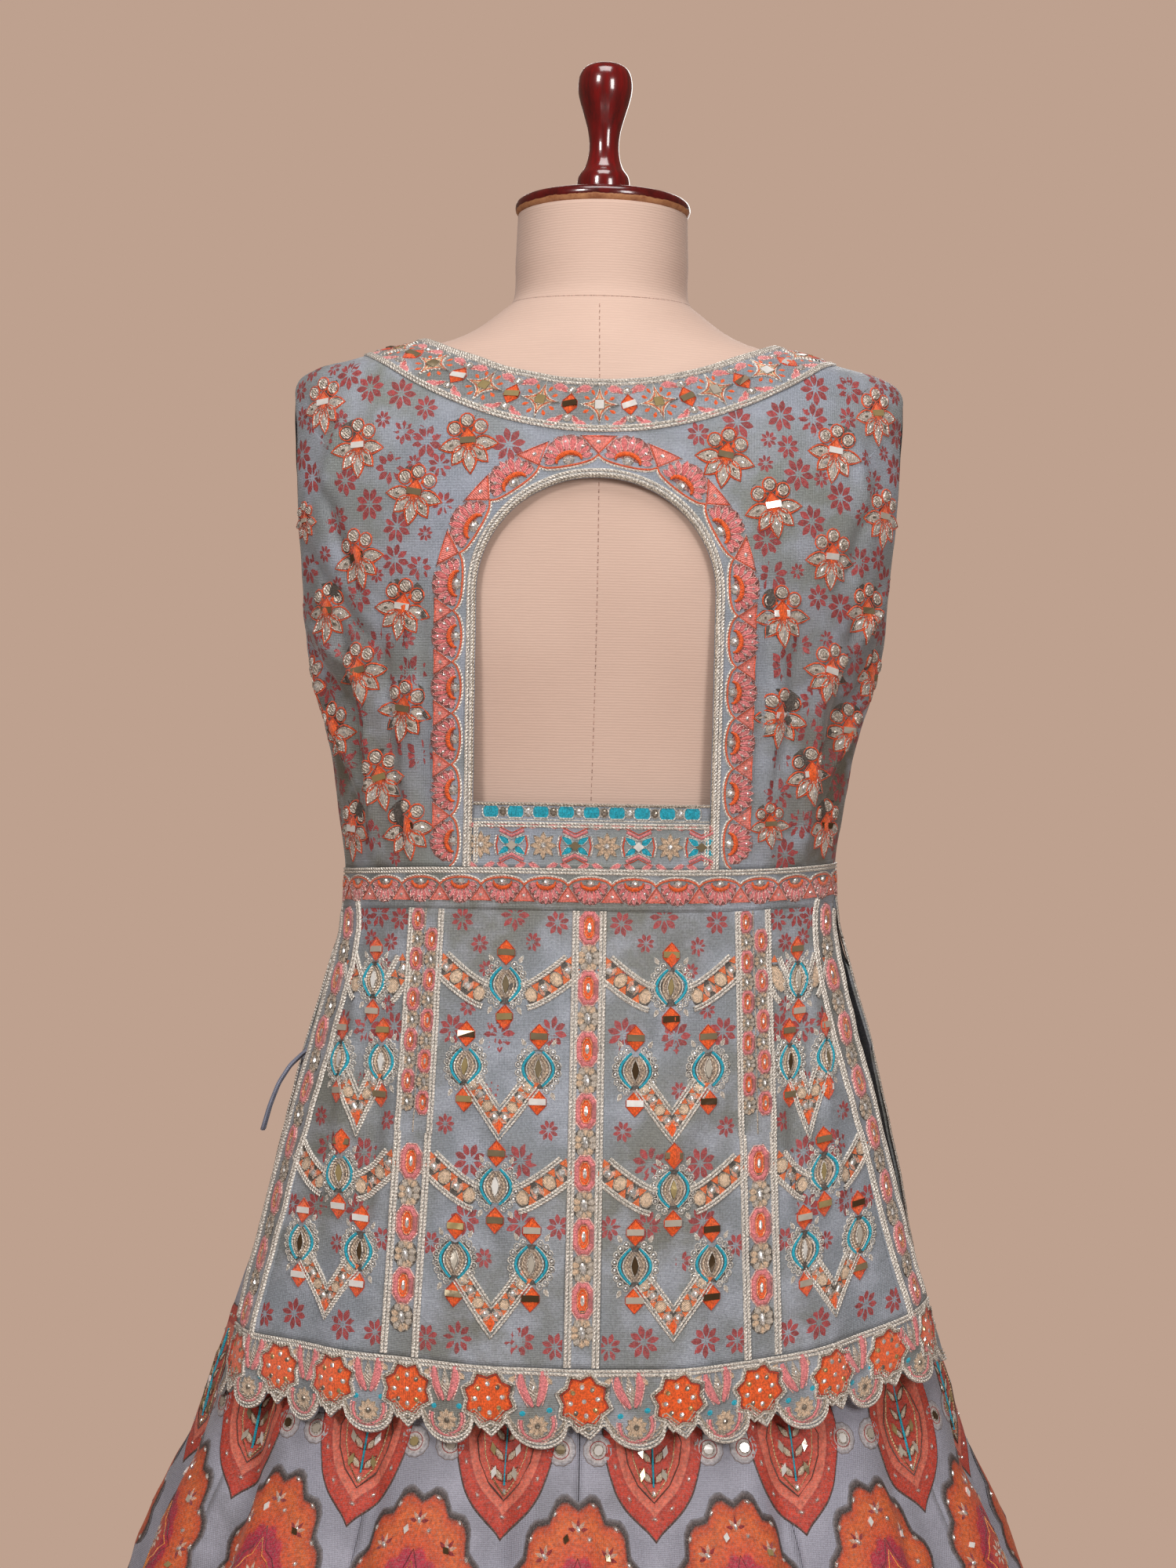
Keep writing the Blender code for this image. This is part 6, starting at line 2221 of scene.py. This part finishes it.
def shield(pen, scale):
    """A hanging shield: red at its edge, salmon inside, with a stemmed leaf at its heart."""
    pen = pen.moved(scale=scale)
    table = np.array(SHIELD_EDGE, float)
    run = np.linspace(0, len(table) - 1, 34)
    right = eased(np.column_stack(on_path(run, np.arange(len(table)), table)))
    outline = np.concatenate([right, right[::-1] * (-1, 1)])[:-1]
    middle = np.array([0, 52.0])
    pen.tiers(outline, SHIELD_TINTS, middle, 4.4)
    chain = middle + (outline - middle) * 0.885
    chain_of_leaves(pen, chain[3:-3], 9.0 if pen.work.plain else 6.6, linear(206, 190, 172), 0.8)
    heart = np.array([
        (0, 22), (8, 32), (13, 44), (15, 56), (11, 68), (5, 78), (0, 84),
        (-5, 78), (-11, 68), (-15, 56), (-13, 44), (-8, 32),
    ], float)
    pen.loop(heart * (1.28, 1) - (0, 2.5), 1.2, 1.1, linear(96, 58, 46), THREAD)
    pen.loop(heart, 1.2, 1.1, linear(196, 170, 130))
    for side in (-1, 1):
        for k in range(4):
            tints = linear(206, 188, 166), linear(110, 86, 66)
            pen.petal(side * 0.8, 30 + 11 * k, -side * 0.75, 12.0, 4.2, *tints, 1.2)
        square = np.array([(1.9, 0), (0, 4.0), (-1.9, 0), (0, -4.0)])
        pen.glass(turned(square, -side * 0.3) + (side * 8.4, 48), 1.6)
        pen.glass(turned(square, side * 0.3) + (side * 7.2, 35), 1.6)
    pen.line([(0, 84), (0, 56), (0, 28)], 1.4, 1.4, TURQUOISE, THREAD)
    pen.stone(0, 24.5, 1.8, 2.4)


def ringed_mirror(pen, scale, plain):
    """A small mirror in rings, with a dark toothed rim."""
    pen = pen.moved(scale=scale)
    teeth = ring(0, 0, 9.4, 9.4, 24) * (1 + 0.05 * (np.arange(24) % 2)[:, None])
    tiers = [(1.0, linear(110, 92, 84)), (0.90, linear(166, 164, 172)), (0.60, linear(186, 178, 176)),
             (0.0, linear(196, 186, 178))]
    pen.tiers(teeth, tiers, (0, 0), 6.0)
    if not plain:
        pen.loop(ring(0, 0, 5.4, 5.4, 14), 1.0, 0.9, linear(168, 66, 62), THREAD)
    pen.loop(ring(0, 0, 3.4, 3.4, 10), 0.9, 1.0, DULL_SILVER)
    pen.glass(ring(0, 0, 2.9, 2.9, 8), 1.1)


SkirtRow = namedtuple("SkirtRow", "motif z offset size")
SKIRT_ROWS = [SkirtRow(*row) for row in (
    ("shield", 0.6840, 0.5, 0.98), ("medallion", 0.6500, 0.0, 0.95),
    ("medallion", 0.5320, 0.5, 1.00), ("medallion", 0.4050, 0.0, 1.10),
    ("medallion", 0.2650, 0.5, 1.20), ("medallion", 0.1140, 0.0, 1.16),
)]


RINGED_ROWS = [SkirtRow(*row) for row in (
    ("pair", 0.7330, 0.0, 0.92), ("one", 0.6300, 0.5, 0.80), ("one", 0.5900, 0.28, 0.80),
    ("one", 0.4700, 0.25, 0.90), ("one", 0.3340, 0.25, 1.00), ("one", 0.1800, 0.25, 1.10),
)]


def skirt_work(half):
    """Fifteen repeats round; the front's stand half a repeat over, so that the sides meet."""
    ground = skirt_ground(half)
    work = Work(f"skirt_{half}_work", ground, 0.0001)
    over = 0.0 if half == "back" else 0.5
    last = SKIRT_REPEATS / 2

    def columns(offset):
        middles = np.arange(-5, 6) + offset + over
        return [m for m in middles if -last < m <= last]

    for row in SKIRT_ROWS:
        for middle in columns(row.offset):
            pen = Pen(work, skirt_place(ground, middle, row.z))
            if row.motif == "shield":
                shield(pen, row.size)
            else:
                medallion(pen, row.size, row.z < 0.6 or half == "front")
    for row in RINGED_ROWS:
        for middle in columns(0.0):
            for side in (-1, 1):
                shift = 0.125 if row.motif == "pair" else row.offset
                at = middle + side * shift
                if abs(at) < last and (row.offset != 0.5 or side > 0):
                    pen = Pen(work, skirt_place(ground, at, row.z))
                    ringed_mirror(pen, row.size, row.z < 0.66 or half == "front")
    return work


def hem_work(half):
    """A plain orange band along the skirt's hem, edged with cords."""
    ground = skirt_ground(half)
    work = Work(f"skirt_hem_{half}_work", ground, 0.0002)
    pen = Pen(work, straight(0, 0))
    reach = float(ground.s_at(np.array(math.pi / 2), np.array(0.032))) * 1000 - 1
    x = np.linspace(-reach, reach, 260)
    for height, width, tint, finish in (
        (18.0, 9.0, linear(206, 74, 44), THREAD),
        (24.5, 1.8, SILVER, ZARI),
        (13.2, 1.8, SILVER, ZARI),
        (40.0, 1.6, SILVER, ZARI),
    ):
        pen.line(np.column_stack([x, np.full(260, height)]), width, 0.9, tint, finish)
    for k in range(-22, 23):
        here = pen.moved(k * reach / 22.5, 32.0)
        for petal in range(6):
            here.petal(0, 0, petal * math.pi / 3, 6.0, 3.6, PINK if k % 2 else ORANGE)
        here.stone(0, 0, 1.8)
    return work


# Bands, waistband and tie


def band_cloth(name, ground, patch):
    """A trim's own cloth, which stands for the node of its name."""
    piece = cloth(f"{name}_ground", ground, [patch], 0.0001, 0.0003, PEPLUM_GREY)
    dressed(piece, "embroidered_trim", name)


def build_bands():
    """The cloths under the neck and waist bands and the applied strips."""
    for half in HALVES:
        ground = top_ground(half)
        band_cloth(f"neck_band_{half}", ground, between(*neck_lines(half), np.linspace(0, 1, 9)))
        z = np.linspace(WAIST_SEAM - HALF_SEAM, STRIP_TOP, 10)
        share = np.linspace(0, 1, 120)[None]
        zz = np.repeat(z[:, None], 120, axis=1)
        left, right = (turn_at_x(side_edge(zz, panel_place(half, side)), zz) for side in SIDES)
        band_cloth(f"waist_band_{half}", ground, (-left + (left + right) * share, zz))
        z = np.linspace(STRIP_TOP, STRIP_FOOT, 80)
        for side, sign in SIDES.items():
            place = panel_place(half, side)
            strips = (("princess", "princess_in", "princess_out"), ("side", "side_in", "edge"))
            for name, first, last in strips:
                patch = panel_patch(place, sign, first, last, z, 8)
                band_cloth(f"strip_{half}_{name}_{side}", ground, patch)
        share = np.linspace(-1, 1, 9)[None]
        zz = np.repeat(z[:, None], 9, axis=1)
        x = seam_x(zz, panel_place(half, "left"))["centre"] * share
        band_cloth(f"strip_{half}_centre", ground, (turn_at_x(x, zz), zz))


def build_waistband():
    """A straight satin band round the form, a little crowned and uneven."""
    rows, columns, clear = 9, 161, 0.0003
    turns = np.linspace(0, 2 * math.pi, columns)
    turn, z = np.meshgrid(turns, np.linspace(WAISTBAND_TOP, WAISTBAND_BOTTOM, rows))
    skin = form_skin(turn, z)
    across = np.linspace(0, 1, rows)[:, None]
    crown = 0.0003 * np.sin(across * math.pi) + 0.00025 * np.sin(turn * 57 + 5 * across)
    layers = [pushed_out(skin, clear + WAISTBAND + crown - clear), pushed_out(skin, clear + 0 * turn)]
    size = rows * columns
    quads = [grid_faces(rows, columns, n * size, n == 0) for n in range(2)]
    quads.append(rim_faces(rows, columns, 0, size))
    flat = np.stack([turn * 0.13, z], -1).reshape(-1, 2)
    band = mesh_object(
        "skirt_waistband_satin", np.concatenate([layer.reshape(-1, 3) for layer in layers]),
        np.concatenate(quads), [], [LINING], None, np.concatenate([flat, flat]),
    )
    dressed(band, "plain_lining", "skirt_waistband")


TIE_THICK = 0.0026
TIE_TURN = math.radians(-81)
TIE = [TieRing(*row) for row in (
    (0.9640, 0.0026, 0.0080), (0.9540, 0.0027, 0.0075), (0.9470, 0.0062, 0.0060),
    (0.9410, 0.0135, 0.0050), (0.9330, 0.0195, 0.0055), (0.9220, 0.0230, 0.0075),
    (0.9080, 0.0240, 0.0100), (0.8930, 0.0235, 0.0130),
)]


def build_tie():
    """A satin tie folded along its length into three soft pleats that open at its end."""
    rows, sides = 44, 40
    rings = np.array([[p.z, p.out, p.width] for p in TIE])
    steps = np.linspace(0, len(TIE) - 1, rows)
    z, out, width = (eased(np.interp(steps, np.arange(len(TIE)), rings[:, k])) for k in range(3))
    middle = pushed_out(section_point(SKIRT, np.full(rows, TIE_TURN), z), out)
    aside = np.array([0.0, 1.0, 0.0])
    across = np.cross(np.gradient(middle, axis=0), aside)
    across /= np.linalg.norm(across, axis=1, keepdims=True)
    angle = round_steps(sides)
    opening = np.linspace(0.25, 1.0, rows)[:, None]
    pleat = 1 + 0.34 * opening * np.cos(3 * angle * 2 + 0.6)[None] * np.abs(np.sin(angle))[None]
    wide = np.cos(angle)[None] * width[:, None] / 2
    thick = np.sin(angle)[None] * TIE_THICK / 2 * pleat
    points = middle[:, None] + aside * wide[..., None] + across[:, None] * thick[..., None]
    ends = np.array([points[0].mean(axis=0), points[-1].mean(axis=0)])
    points = np.concatenate([points.reshape(-1, 3), ends])
    flat = np.stack(np.broadcast_arrays(wide, z[:, None]), -1).reshape(-1, 2)
    flat = np.concatenate([flat, np.zeros((2, 2))])
    tie = mesh_object("skirt_tie_satin", points, *capped(rows, sides), [LINING], None, flat)
    dressed(tie, "plain_lining", "skirt_tie")


Cut = namedtuple("Cut", "piece width length area held rests_on sewn_on")


build_camera()
build_lamps()
build_room()
build_form()
build_bodice_cloth()
build_peplum_cloth()
build_border_cloth()
build_skirt_cloth()
build_bands()
build_waistband()
build_tie()

form_seams("back").build("jersey")
form_seams("front").build("jersey")
neck_work("back").build("embroidered_trim")
neck_work("front").build("embroidered_trim")
yoke_work().build("turquoise_trim")
arch_work().build("silver_cord", "arch_cord")
arch_border_work().build("embroidered_trim")
for half in HALVES:
    waist_work(half).build("embroidered_trim")
    panel_work(half).build("embroidered_trim")
    panel_print(half).build("printed_silk")
    stitched, printed = bodice_flowers(half)
    stitched.build("embroidered_trim")
    printed.build("printed_silk")
    strips_work(half).build("embroidered_trim")
    border_work(half).build("embroidered_trim")
    skirt_work(half).build("lehenga_silk")
    hem_work(half).build("lehenga_silk")
